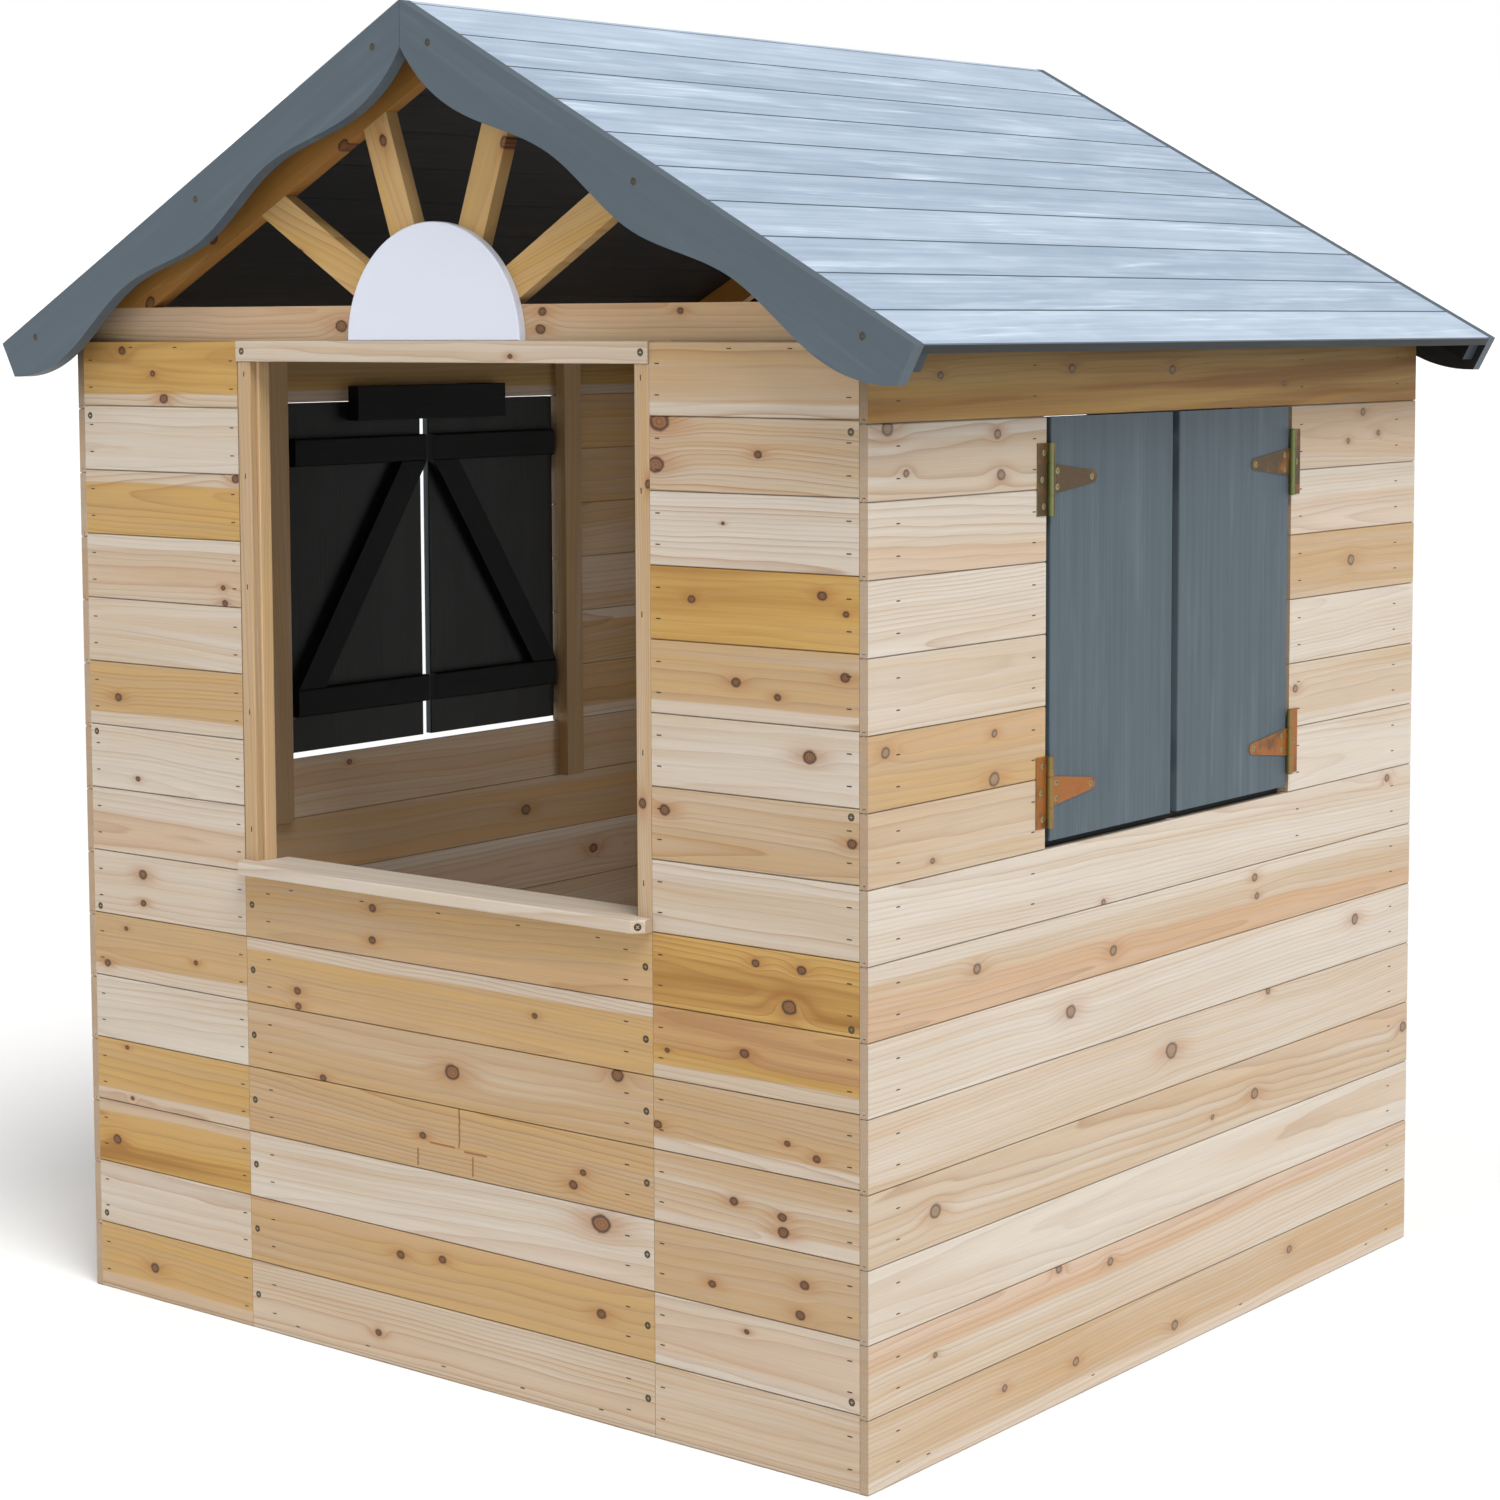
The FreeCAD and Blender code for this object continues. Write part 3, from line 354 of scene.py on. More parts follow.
def knot_fields(graph, along, across, knots, seed):
    """Lift of the rings around knots, knot wood, bark line, resin stain, ring count and size."""
    wobble = (graph.noise(graph.vector(along * 70.0, across * 110.0, seed), 1.0, 2.0) - 0.5) * 0.9
    lift = wood = rim = stain = turns = size = None
    for knot in knots:
        radius = graph.math("MAXIMUM", knot.radius, 0.0001) if isinstance(knot.radius, Term) else knot.radius
        shown = graph.smooth(knot.radius, 0.0004, 0.0008) if isinstance(knot.radius, Term) else 1.0
        run = (along - knot.along) / radius
        rise = (across - knot.across) / radius
        reach = (run * run * 0.62 + rise * rise) ** 0.5 + wobble * 0.6
        here_wood = graph.smooth(reach, 1.06, 0.9) * shown
        here_rim = graph.bell((reach - 0.97) / (0.0006 / radius + 0.13)) * shown
        here_stain = graph.bell(run / 4.6) * graph.bell(rise / 1.9) * shown
        here_lift = graph.bell(run / 4.2) * graph.bell(rise / 2.3) * radius * shown
        here_turns = reach * here_wood
        here_size = radius * here_wood
        if wood is None:
            lift, wood, rim = here_lift, here_wood, here_rim
            stain, turns, size = here_stain, here_turns, here_size
        else:
            lift = lift + here_lift
            wood = graph.math("MAXIMUM", wood, here_wood)
            rim = graph.math("MAXIMUM", rim, here_rim)
            stain = graph.math("MAXIMUM", stain, here_stain)
            turns = graph.math("MAXIMUM", turns, here_turns)
            size = graph.math("MAXIMUM", size, here_size)
    return lift, wood, rim, stain, turns, size


class Grain:
    """Growth rings of a flat-sawn board, as terms in a node tree."""

    def __init__(self, graph, along, across, through, piece, lift, spacing, spread):
        luck = graph.chance(piece * 1.37 + 0.21)
        more_luck = graph.chance(piece * 2.11 + 7.9)
        self.luck = more_luck
        sway = (graph.noise(graph.vector(along * 2.4, across * 7.0, piece * 3.7), 1.0, 2.0) - 0.5) * 0.026
        centre = (luck[0] - 0.5) * 0.1
        depth = 0.007 + luck[1] * 0.03
        offset = across - centre + sway
        taper = (luck[2] - 0.5) * 0.06
        self.radius = (offset * offset + depth * depth) ** 0.5 + along * taper + lift * 1.5
        width = spacing + more_luck[0] * more_luck[0] * spread
        ripple = graph.noise(graph.vector(along * 9.0, across * 60.0, piece * 5.3), 1.0, 1.0) * 0.55
        phase = self.radius / width + ripple + 40.0
        year = graph.math("FLOOR", phase)
        part = phase - year
        strength = graph.chance(year + piece * 13.0)[0] * 0.75 + 0.25
        self.late = ((part ** 2.0) * 0.45 + (part ** 8.0) * 0.55) * graph.smooth(part, 1.0, 0.93) * strength
        self.band = graph.noise(graph.vector(self.radius * 95.0, piece * 3.3, along * 1.1), 1.0, 2.0, 0.6)
        self.fibre = graph.noise(graph.vector(along * 9.0, across * 620.0, through * 300.0 + piece), 1.0, 2.0, 0.6)
        self.streak = graph.noise(graph.vector(along * 2.2, across * 95.0, piece * 2.9), 1.0, 2.0, 0.6)
        self.cloud = graph.noise(graph.vector(along * 2.6, across * 17.0, piece * 9.1), 1.0, 1.0)


def bare_fir(name, layout, cap_axis, seed, rows=None, knots=None, knot_span=None, tone=0.3, heart=0.4,
             strength=0.5, spacing_scale=1.0, grey=0.0, inner_axis=1, sheltered=False, cracks=()):
    """Bare planed fir.

    layout gives the terms along, across, through, piece and row from the place. cap_axis is the
    axis that sawn ends face, or None. rows are (tone, heart, grain) for each row. knots is a list
    of tables of (along, across, size) for each row, in shares, or of fixed Knots. grey is how
    weathered knots and rings are. inner_axis is the axis along which the indoor faces look, which
    get painted light, or None for a piece that stands indoors and gets painted light all over.
    With the eave shade flag set, the boards just under the eaves get painted shade. cracks
    are (x, z, half width, half height).
    """
    look = bpy.context.scene.playhouse_timber
    material, graph = new_material(name)
    x, y, z = graph.place()
    along, across, through, piece, row = layout(graph, x, y, z)
    piece = piece + seed
    if rows:
        tone, heart, strength = graph.table(row, rows)
    places = []
    for entry in knots or ():
        if isinstance(entry, Knot):
            places.append(entry)
        else:
            start, length, cover = knot_span
            spot, share, size = graph.table(row, entry)
            places.append(Knot(spot * length + start, (share - 0.5) * cover, size * LARGEST_KNOT))
    if places:
        lift, wood, rim, stain, turns, size = knot_fields(graph, along, across, places, seed)
    grain = Grain(graph, along, across, through, piece, lift if places else 0.0,
                  look.ring_spacing * spacing_scale, look.ring_spread * spacing_scale)
    inside = graph.smooth(grain.radius, 0.03, 0.022) * heart
    warmth = (tone + inside * 0.12 + (grain.cloud - 0.5) * 0.3 + (grain.streak - 0.5) * 0.25
              + (grain.band - 0.5) * 0.45)
    if rows:
        sap_side = graph.math("SIGN", grain.luck[1] - 0.5)
        sap = graph.smooth(sap_side * across + (grain.cloud - 0.5) * 0.014, 0.021, 0.0245)
        warmth = warmth * (1.0 - sap * graph.smooth(grain.luck[2], 0.45, 0.5) * 0.75)
    colour = graph.ramp(warmth, [(0.0, tuple(look.sapwood)), (0.45, tuple(look.middle)),
                                 (0.85, tuple(look.honey)), (1.0, tuple(look.deep))])
    colour = graph.mix(inside * 0.55, colour, tuple(look.heart))
    lines = grain.late * (strength + 0.35) * look.ring_strength * 2.0
    ring = graph.mix(grey * 0.6, tuple(look.late_ring), tuple(look.knot_grey))
    colour = graph.mix(graph.math("MINIMUM", lines, 0.85), colour, ring)
    tremor = (grain.fibre - 0.5) * look.fibre_strength * 2.0 + (grain.streak - 0.5) * 0.16
    height = grain.fibre * 0.5 + grain.late * 0.7
    roughness = 0.62 - grain.late * 0.1 + (grain.fibre - 0.5) * 0.1
    if places:
        soaked = stain * (0.35 + grain.streak * 0.5) * (1.0 - grey * 0.5)
        colour = graph.mix(soaked, colour, tuple(look.knot_stain))
        pulse = graph.math("SINE", turns * 15.0 + grain.streak * 9.0) * 0.5 + 0.5
        core = graph.mix(graph.smooth(size, 0.0042, 0.008), tuple(look.knot), tuple(look.knot_red))
        core = graph.mix(pulse * 0.55, core, tuple(look.knot_stain))
        core = graph.mix(grey, core, tuple(look.knot_grey))
        colour = graph.mix(wood * 0.9, colour, core)
        colour = graph.mix(rim * (0.8 - grey * 0.25), colour, tuple(look.knot_rim))
        height = height - rim * 1.2 + wood * 0.6
        roughness = roughness - wood * 0.15
    for middle_x, middle_z, half_x, half_z in cracks:
        bend = (grain.streak - 0.5) * 0.004
        gap = graph.math("MAXIMUM", abs(x - middle_x + bend) - half_x, abs(z - middle_z) - half_z)
        crack = graph.smooth(gap, 0.0014, 0.0) * (0.55 + grain.cloud * 0.5)
        colour = graph.mix(crack, colour, tuple(look.resin))
    if cap_axis is not None:
        facing = abs(graph.facing()[cap_axis])
        cap = graph.smooth(facing, 0.6, 0.9)
        bend = across * across * 9.0 + through
        arcs = graph.math("FRACT", (bend + across * grain.luck[1]) / 0.0031 + grain.luck[2] * 9.0)
        sawn = graph.mix(arcs * 0.5 * (0.5 + grain.cloud), tuple(look.end_grain), tuple(look.late_ring))
        colour = graph.mix(cap * 0.85, colour, sawn)
        roughness = roughness + cap * 0.15
    colour = graph.shade(colour, 1.0 + tremor)
    if rows:
        reach = abs(across)
        edge = BOARD_COVER / 2
        seam = (graph.smooth(reach, edge - 0.0011, edge - 0.0003)
                * graph.smooth(reach, edge + 0.0008, edge + 0.0002))
        colour = graph.mix(seam * 0.42, colour, tuple(look.seam))
    # Painted light: faces that look indoors get brighter by the indoor light setting, and pieces that stand
    # indoors get brighter all over.
    if inner_axis is None:
        light = 1.0 + look.painted_indoor_light * 0.4
    else:
        side = graph.math("SIGN", (x, y)[inner_axis])
        light = graph.smooth(side * graph.facing()[inner_axis], -0.3, -0.8) * look.painted_indoor_light + 1.0
    # Painted shade of the eaves: wall boards darken towards the top of the wall.
    if sheltered:
        light = light * (1.0 - graph.smooth(z, WALL_HIGH.z - 0.13, WALL_HIGH.z + 0.01) * 0.6)
    colour = graph.shade(colour, light)
    graph.surface(colour, roughness, height, 0.0005, 0.55, {"Specular IOR Level": 0.35})
    return material


# --- Where each board lies ---------------------------------------------------------------------------
def panel_layout(graph, x, y, z):
    """Level boards of the front and rear."""
    rise = z - PANEL_LIP
    row = graph.math("MINIMUM", graph.math("MAXIMUM", graph.math("FLOOR", rise / BOARD_COVER), 0.0),
                     WALL_ROWS - 1.0)
    return x, rise - (row + 0.5) * BOARD_COVER, y, row, row


def wall_layout(graph, x, y, z):
    """Level boards of a side wall; the short boards behind the window count as six more rows."""
    row = graph.math("MINIMUM", graph.math("FLOOR", z / BOARD_COVER), WALL_ROWS - 1.0)
    beside = (graph.math("GREATER_THAN", row, WINDOW_ROWS[0] - 0.5)
              * graph.math("LESS_THAN", row, WINDOW_ROWS[-1] + 0.5))
    behind = beside * graph.math("GREATER_THAN", y, 0.0)
    index = row + behind * (WALL_ROWS - WINDOW_ROWS[0])
    return y, z - (row + 0.5) * BOARD_COVER, x, index, index


def slope_layout(graph, x, y, z):
    """Roof boards: along the ridge, and down the slope from it."""
    down = abs(x) * math.cos(ROOF_PITCH) + (ROOF_HIGH.z - z) * math.sin(ROOF_PITCH)
    row = graph.math("MAXIMUM", graph.math("FLOOR", (down - RIDGE_BOARD) / BOARD_COVER), -1.0) + 1.0
    across = down - RIDGE_BOARD - (row - 0.5) * BOARD_COVER
    side = graph.math("GREATER_THAN", x, 0.0)
    return y, across, z, row + side * 17.0, row


def upright_layout(graph, x, y, z):
    """Battens and trims, each known by its place on the ground."""
    piece = graph.math("FLOOR", x * 9.0) * 3.0 + graph.math("FLOOR", y * 9.0) * 29.0
    return z, x * 0.9 + y * 0.9, x - y, piece, piece


def level_layout(graph, x, y, z):
    """One rail along the front."""
    return x, z - BEAM_LOW.z, y, y * 0.0, y * 0.0


def plate_layout(graph, x, y, z):
    """Rails along a side wall."""
    side = graph.math("GREATER_THAN", x, 0.0)
    return y, z - WALL_HIGH.z, x, side, side


def rafter_layout(graph, x, y, z):
    """Pieces that follow the roof's slope."""
    side = graph.math("GREATER_THAN", x, 0.0)
    run = abs(x)
    down = run * math.cos(ROOF_PITCH) + (ROOF_HIGH.z - z) * math.sin(ROOF_PITCH)
    under = (ROOF_HIGH.z - z) * math.cos(ROOF_PITCH) - run * math.sin(ROOF_PITCH)
    return down, under, y, side * 5.0, side


def ray_layout(graph, x, y, z):
    """Rays from the foot of the sun, each known by its angle."""
    rise = z - BEAM_HIGH.z + RAY_FOOT
    angle = graph.math("ARCTAN2", rise, x)
    piece = graph.math("FLOOR", angle * RAYS_A_RADIAN)
    reach = (x * x + rise * rise) ** 0.5
    off_middle = angle - (piece + 0.5) / RAYS_A_RADIAN
    return reach, off_middle * reach, y, piece, piece


# --- Tables of boards --------------------------------------------------------------------------------
def knot_tables(rows, listed, start, length, layers):
    """Tables for bare_fir from {row: [(place along, share across, size)]}."""
    tables = []
    for layer in range(layers):
        table = []
        for row in range(rows):
            spots = listed.get(row, ())
            if layer < len(spots):
                place, share, size = spots[layer]
                table.append(((place - start) / length, share, size / LIST_KNOT))
            else:
                table.append((0.5, 0.5, 0.0))
        tables.append(table)
    return tables


def random_rows(seed, rows):
    """Tones, heartwood and grain strength for boards out of one bundle."""
    draw = random.Random(seed)
    table = []
    for _ in range(rows):
        tone = draw.choice((0.06, 0.1, 0.15, 0.25, 0.35, 0.45, 0.55, 0.85)) + draw.uniform(-0.04, 0.04)
        table.append((max(tone, 0.0), draw.choice((0.0, 0.2, 0.7, 1.0)), draw.uniform(0.25, 0.8)))
    return table


def random_knots(seed, rows, low, high):
    """Up to three knots a board, small ones more often than large."""
    draw = random.Random(seed)
    listed = {}
    for row in range(rows):
        count = draw.choice((0, 0, 1, 1, 2, 3))
        listed[row] = [(draw.uniform(low, high), draw.uniform(0.12, 0.88), draw.choice((3, 3.5, 4.5, 5.5, 8)))
                       for _ in range(count)]
    return listed


def share_of_panel(listed, low, high):
    """Turns shares of a panel's width into places."""
    return {row: [(low + share * (high - low), rise, size) for share, rise, size in spots]
            for row, spots in listed.items()}


# Rows run from the ground up: tone from pale 0 to honey 1, heartwood, strength of the rings. A
# knot is its share along the board, its share up the board and its size.
FRONT_RIGHT_ROWS = (
    (0.26, 0.1, 0.3), (0.16, 0.5, 0.6), (0.42, 0.1, 0.35), (0.30, 0.2, 0.5), (0.46, 0.0, 0.6),
    (0.84, 0.6, 0.5), (0.88, 0.3, 0.9), (0.20, 0.5, 0.4), (0.40, 0.7, 0.5), (0.06, 0.1, 0.15),
    (0.48, 0.2, 0.6), (0.86, 0.0, 0.35), (0.08, 0.2, 0.7), (0.28, 0.1, 0.9), (0.42, 0.3, 0.6),
)
FRONT_RIGHT_KNOTS = {
    1: [(0.46, 0.75, 2.5)],
    2: [(0.74, 0.57, 5), (0.72, 0.15, 5), (0.29, 0.3, 4)],
    3: [(0.40, 0.5, 4.5), (0.635, 0.42, 4.5), (0.64, 0.22, 6)],
    4: [(0.02, 0.35, 4.5), (0.66, 0.43, 3), (0.8, 0.3, 4)],
    5: [(0.455, 0.54, 5), (0.07, 0.4, 2.5)],
    6: [(0.51, 0.78, 4), (0.73, 0.78, 5), (0.67, 0.26, 8)],
    8: [(0.064, 0.69, 6), (0.967, 0.53, 5)],
    9: [(0.77, 0.6, 7)],
    10: [(0.42, 0.5, 5), (0.935, 0.68, 5), (0.62, 0.35, 3.5)],
    11: [(0.205, 0.57, 4), (0.83, 0.72, 5), (0.94, 0.5, 3)],
    12: [(0.36, 0.6, 1.6)],
    13: [(0.05, 0.93, 11), (0.03, 0.35, 9), (0.53, 0.52, 4)],
}
FRONT_LEFT_ROWS = (
    (0.70, 0.2, 0.5), (0.12, 0.8, 0.35), (0.86, 0.3, 0.6), (0.72, 0.4, 0.5), (0.08, 0.3, 0.35),
    (0.52, 0.2, 0.35), (0.12, 0.0, 0.2), (0.14, 0.6, 0.45), (0.08, 0.1, 0.4), (0.58, 0.4, 0.7),
    (0.14, 0.2, 0.2), (0.28, 0.4, 0.35), (0.74, 0.5, 0.7), (0.12, 0.1, 0.3), (0.88, 0.0, 0.5),
)
FRONT_LEFT_KNOTS = {
    0: [(0.36, 0.45, 6)],
    2: [(0.12, 0.38, 6)],
    3: [(0.2, 0.9, 2.5), (0.23, 0.1, 2.5)],
    5: [(0.08, 0.2, 4.5), (0.67, 0.45, 3), (0.21, 0.8, 2.5)],
    6: [(0.33, 0.7, 6), (0.33, 0.25, 4)],
    8: [(0.31, 0.2, 3)],
    9: [(0.19, 0.45, 5)],
    11: [(0.89, 0.28, 3), (0.9, 0.05, 4)],
    12: [(0.98, 0.93, 5)],
    14: [(0.26, 0.85, 5), (0.53, 0.12, 6), (0.46, 0.5, 3.5)],
}
COUNTER_TONES = (
    (0.22, 0.2, 0.7), (0.56, 0.5, 0.35), (0.07, 0.5, 0.25), (0.52, 0.1, 0.8), (0.46, 0.3, 0.3),
    (0.60, 0.2, 0.5), (0.56, 0.6, 0.3),
)
COUNTER_KNOTS = {
    0: [(0.335, 0.38, 4)],
    1: [(0.395, 0.64, 5), (0.5, 0.72, 4.5), (0.88, 0.5, 5.5)],
    2: [(0.88, 0.78, 11)],
    3: [(0.455, 0.5, 4), (0.817, 0.25, 5), (0.84, 0.45, 3.5)],
    4: [(0.53, 0.52, 9), (0.92, 0.92, 7), (0.2, 0.05, 4)],
    5: [(0.135, 0.3, 4.5), (0.137, 0.07, 4), (0.73, 0.55, 3)],
    6: [(0.335, 0.73, 4.5), (0.333, 0.25, 4.5)],
}
CRACKED_ROW = 3                   # row of the counter whose board has resin cracks
COUNTER_CRACKS = (                # share along, share up, half width, half height
    (0.546, 0.71, 0.0004, 0.021), (0.442, 0.17, 0.0005, 0.009), (0.578, 0.19, 0.0004, 0.010),
    (0.505, 0.42, 0.018, 0.0003), (0.585, 0.385, 0.016, 0.0004),
)
# Row 14 of each side wall, the top board just under the eaves, has a deep honey tone that is partly painted eave
# shade.
RIGHT_WALL_TONES = (
    (0.35, 0.2, 0.35), (0.17, 1.0, 0.4), (0.03, 0.3, 0.3), (0.25, 0.5, 0.5), (0.15, 0.3, 0.3),
    (0.03, 0.2, 0.3), (0.25, 1.0, 0.4), (0.05, 0.3, 0.3), (0.29, 0.2, 0.4), (0.47, 0.5, 0.3),
    (0.15, 1.0, 0.35), (0.07, 0.5, 0.5), (0.09, 0.6, 0.4), (0.22, 0.3, 0.5), (0.92, 0.1, 0.5),
    (0.05, 0.2, 0.3), (0.23, 0.3, 0.4), (0.07, 0.3, 0.4), (0.45, 0.6, 0.3), (0.07, 0.4, 0.3),
    (0.19, 0.5, 0.3),
)
RIGHT_WALL_KNOTS = {
    0: [(0.21, 0.6, 4), (0.33, 0.5, 5), (0.51, 0.35, 6), (0.74, 0.7, 5)],
    1: [(0.30, 0.96, 5), (0.39, 0.75, 5), (0.10, 0.5, 3)],
    3: [(0.10, 0.47, 8), (0.664, 0.42, 7), (0.58, 0.3, 3), (0.99, 0.6, 7)],
    4: [(0.50, 0.55, 10), (0.69, 0.96, 4.5)],
    5: [(0.318, 0.6, 8), (0.876, 0.67, 7)],
    6: [(0.164, 0.59, 6), (0.392, 0.3, 6), (0.66, 0.8, 5), (0.665, 0.5, 4)],
    7: [(0.374, 0.04, 3.5), (0.945, 0.85, 5)],
    8: [(0.095, 0.2, 3)],
    9: [(0.025, 0.75, 6), (0.19, 0.75, 4), (0.19, 0.12, 8)],
    13: [(0.028, 0.93, 8), (0.194, 0.79, 5), (0.055, 0.34, 4), (0.2, 0.24, 6)],
    14: [(0.106, 0.6, 4), (0.315, 0.65, 5), (0.492, 0.6, 5), (0.71, 0.35, 3)],
    16: [(0.74, 0.6, 5)],
    18: [(0.857, 0.5, 7)],
    20: [(0.88, 0.85, 5), (0.848, 0.4, 3.5), (0.915, 0.5, 3.5)],
}
LEFT_WALL_TONES = (
    (0.30, 0.3, 0.4), (0.20, 0.5, 0.4), (0.42, 0.2, 0.5), (0.34, 0.7, 0.5), (0.26, 0.2, 0.4),
    (0.24, 0.6, 0.4), (0.46, 0.4, 0.4), (0.30, 0.3, 0.3), (0.40, 0.3, 0.5), (0.22, 0.5, 0.4),
    (0.14, 0.2, 0.3), (0.55, 0.4, 0.5), (0.18, 0.6, 0.4), (0.36, 0.3, 0.4), (0.85, 0.5, 0.5),
    (0.50, 0.3, 0.5), (0.42, 0.6, 0.6), (0.30, 0.2, 0.4), (0.38, 0.4, 0.5), (0.46, 0.3, 0.4),
    (0.50, 0.5, 0.4),
)


def board_material(name, layout, cap_axis, seed, rows, listed, low, high, layers, **more):
    """Bare fir for boards that lie in rows, with up to so many layers of knots on each."""
    tables = knot_tables(len(rows), listed, low, high - low, layers)
    return bare_fir(name, layout, cap_axis, seed, rows=rows, knots=tables,
                    knot_span=(low, high - low, BOARD_COVER), **more)


# --- Stain, paint and metal ----------------------------------------------------------------------------
def stained(name, layout, seed, deep, pale, edge, grain_strength, roughness, bump, spacing, seam=0.0,
            inside=None, rim=None, shine=0.5):
    """Timber under a thin stain that lets the grain through.

    seam is the distance from a board's middle to its joints, where stain gathers. rim gives the
    edges where it gathers too, and inside the faces that get a near-black coat of painted shade.
    """
    material, graph = new_material(name)
    x, y, z = graph.place()
    along, across, through, piece, _ = layout(graph, x, y, z)
    piece = piece + seed
    grain = Grain(graph, along, across, through, piece, 0.0, spacing, spacing * 1.4)
    veil = graph.noise(graph.vector(along * 7.0, across * 26.0, piece * 1.9), 1.0, 3.0, 0.6)
    dry = graph.noise(graph.vector(along * 4.0, across * 30.0, piece * 4.7), 1.0, 3.0, 0.65)
    chalk = graph.smooth(dry, 0.5, 0.72)
    showing = (grain.streak - 0.5) * 0.9 + (veil - 0.5) * 0.6 + (grain.luck[1] - 0.5) * 0.3 + chalk * 0.3
    colour = graph.mix(graph.smooth(showing * grain_strength, -0.55, 0.75), deep, pale)
    lines = grain.late * (0.25 + chalk * 0.9) * grain_strength
    colour = graph.mix(graph.math("MINIMUM", lines, 0.7), colour, tuple(min(part * 1.35, 1.0) for part in pale))
    if seam:
        reach = abs(across)
        gathered = (graph.smooth(reach, seam - 0.0018, seam - 0.0006)
                    * graph.smooth(reach, seam + 0.0015, seam + 0.0007))
        colour = graph.mix(gathered * 0.85, colour, edge)
    facing = graph.facing()
    if rim:
        colour = graph.mix(rim(graph, *facing) * 0.9, colour, edge)
    # Painted shade: the faces that inside picks get a near-black coat for the shade indoors and under the roof.
    if inside:
        dark = bpy.context.scene.playhouse_stain.inside
        colour = graph.mix(inside(graph, x, y, *facing) * 0.95, colour, tuple(dark))
    tremor = (grain.fibre - 0.5) * 0.16 * grain_strength + (grain.cloud - 0.5) * 0.1
    colour = graph.shade(colour, 1.0 + tremor)
    rough = roughness + (grain.fibre - 0.5) * 0.16 + (veil - 0.5) * 0.12
    graph.surface(colour, rough, grain.fibre * 0.5 + grain.late * 0.8, 0.0005, bump,
                  {"Specular IOR Level": shine})
    return material


def shade_under_roof(graph, x, y, across_x, along_y, up):
    """Undersides of the roof boards, which get painted shade."""
    return graph.smooth(up, 0.0, -0.3)


def off_slope(graph, across_x, along_y, up):
    """Lower edges of the roof boards, which face neither up nor down nor along the ridge."""
    return graph.smooth(abs(up), 0.82, 0.6) * graph.smooth(abs(along_y), 0.7, 0.5)


def shaded_indoors_x(graph, x, y, across_x, along_y, up):
    """Faces of the shutters that look into the house, which get painted shade."""
    side = graph.math("SIGN", x)
    return graph.smooth(side * across_x, -0.2, -0.6)


def shaded_indoors_y(graph, x, y, across_x, along_y, up):
    """Faces of the barge boards and end battens that look towards the walls, which get painted shade."""
    side = graph.math("SIGN", y)
    return graph.smooth(side * along_y, -0.2, -0.6)


def shaded_everywhere(graph, x, y, across_x, along_y, up):
    """Every face of the braces and stops, which stand indoors and get painted shade all over."""
    return up * 0.0 + 1.0


def painted(name, colour_code):
    """Brushed paint on a board."""
    material, graph = new_material(name)
    x, y, z = graph.place()
    brush = graph.noise(graph.vector(x * 30.0, y * 30.0, z * 420.0), 1.0, 2.0)
    peel = graph.noise(graph.vector(x, y, z), 420.0, 1.0)
    worn = graph.noise(graph.vector(x * 9.0, y * 9.0, z * 9.0), 1.0, 2.0)
    colour = graph.shade(colour_code, 0.965 + brush * 0.03 + worn * 0.04)
    graph.surface(colour, 0.34 + worn * 0.14, brush * 0.5 + peel * 0.5, 0.0003, 0.3)
    return material


def passivated(name):
    """Zinc with a yellow film that turns green or copper in places."""
    look = bpy.context.scene.playhouse_metal
    material, graph = new_material(name)
    x, y, z = graph.place()
    spot = graph.vector(x, y, z)
    drift = graph.noise(spot, 26.0, 2.0)
    fine = graph.noise(spot, 150.0, 3.0, 0.65)
    low = graph.smooth(z, 0.9, 0.7)
    thick = graph.smooth(drift * 0.7 + fine * 0.3 + low * 0.22, 0.5, 0.72)
    colour = graph.mix(thick, tuple(look.film), tuple(look.film_copper))
    flat = graph.smooth(abs(graph.facing()[0]), 0.9, 0.98)
    thin = (1.0 - flat * 0.92) * (1.0 - low * 0.35)
    colour = graph.mix(thin, colour, tuple(look.film_green))
    rolled = graph.noise(graph.vector(x * 900.0, y * 60.0, z * 900.0), 1.0, 1.0)
    colour = graph.shade(colour, 0.8 + rolled * 0.3 + fine * 0.15)
    graph.surface(colour, 0.36 + fine * 0.22, rolled, 0.0002, 0.25, metallic=0.55)
    return material


def coated_steel(name, colour_code, roughness):
    """Dull steel of screws and staples."""
    material, graph = new_material(name)
    x, y, z = graph.place()
    spot = graph.vector(x, y, z)
    grime = graph.noise(spot, 300.0, 2.0)
    piece = graph.noise(spot, 12.0, 0.0)
    colour = graph.shade(colour_code, 0.55 + grime * 0.6 + piece * 0.35)
    graph.surface(colour, roughness + grime * 0.25, grime, 0.0002, 0.3, metallic=0.75)
    return material


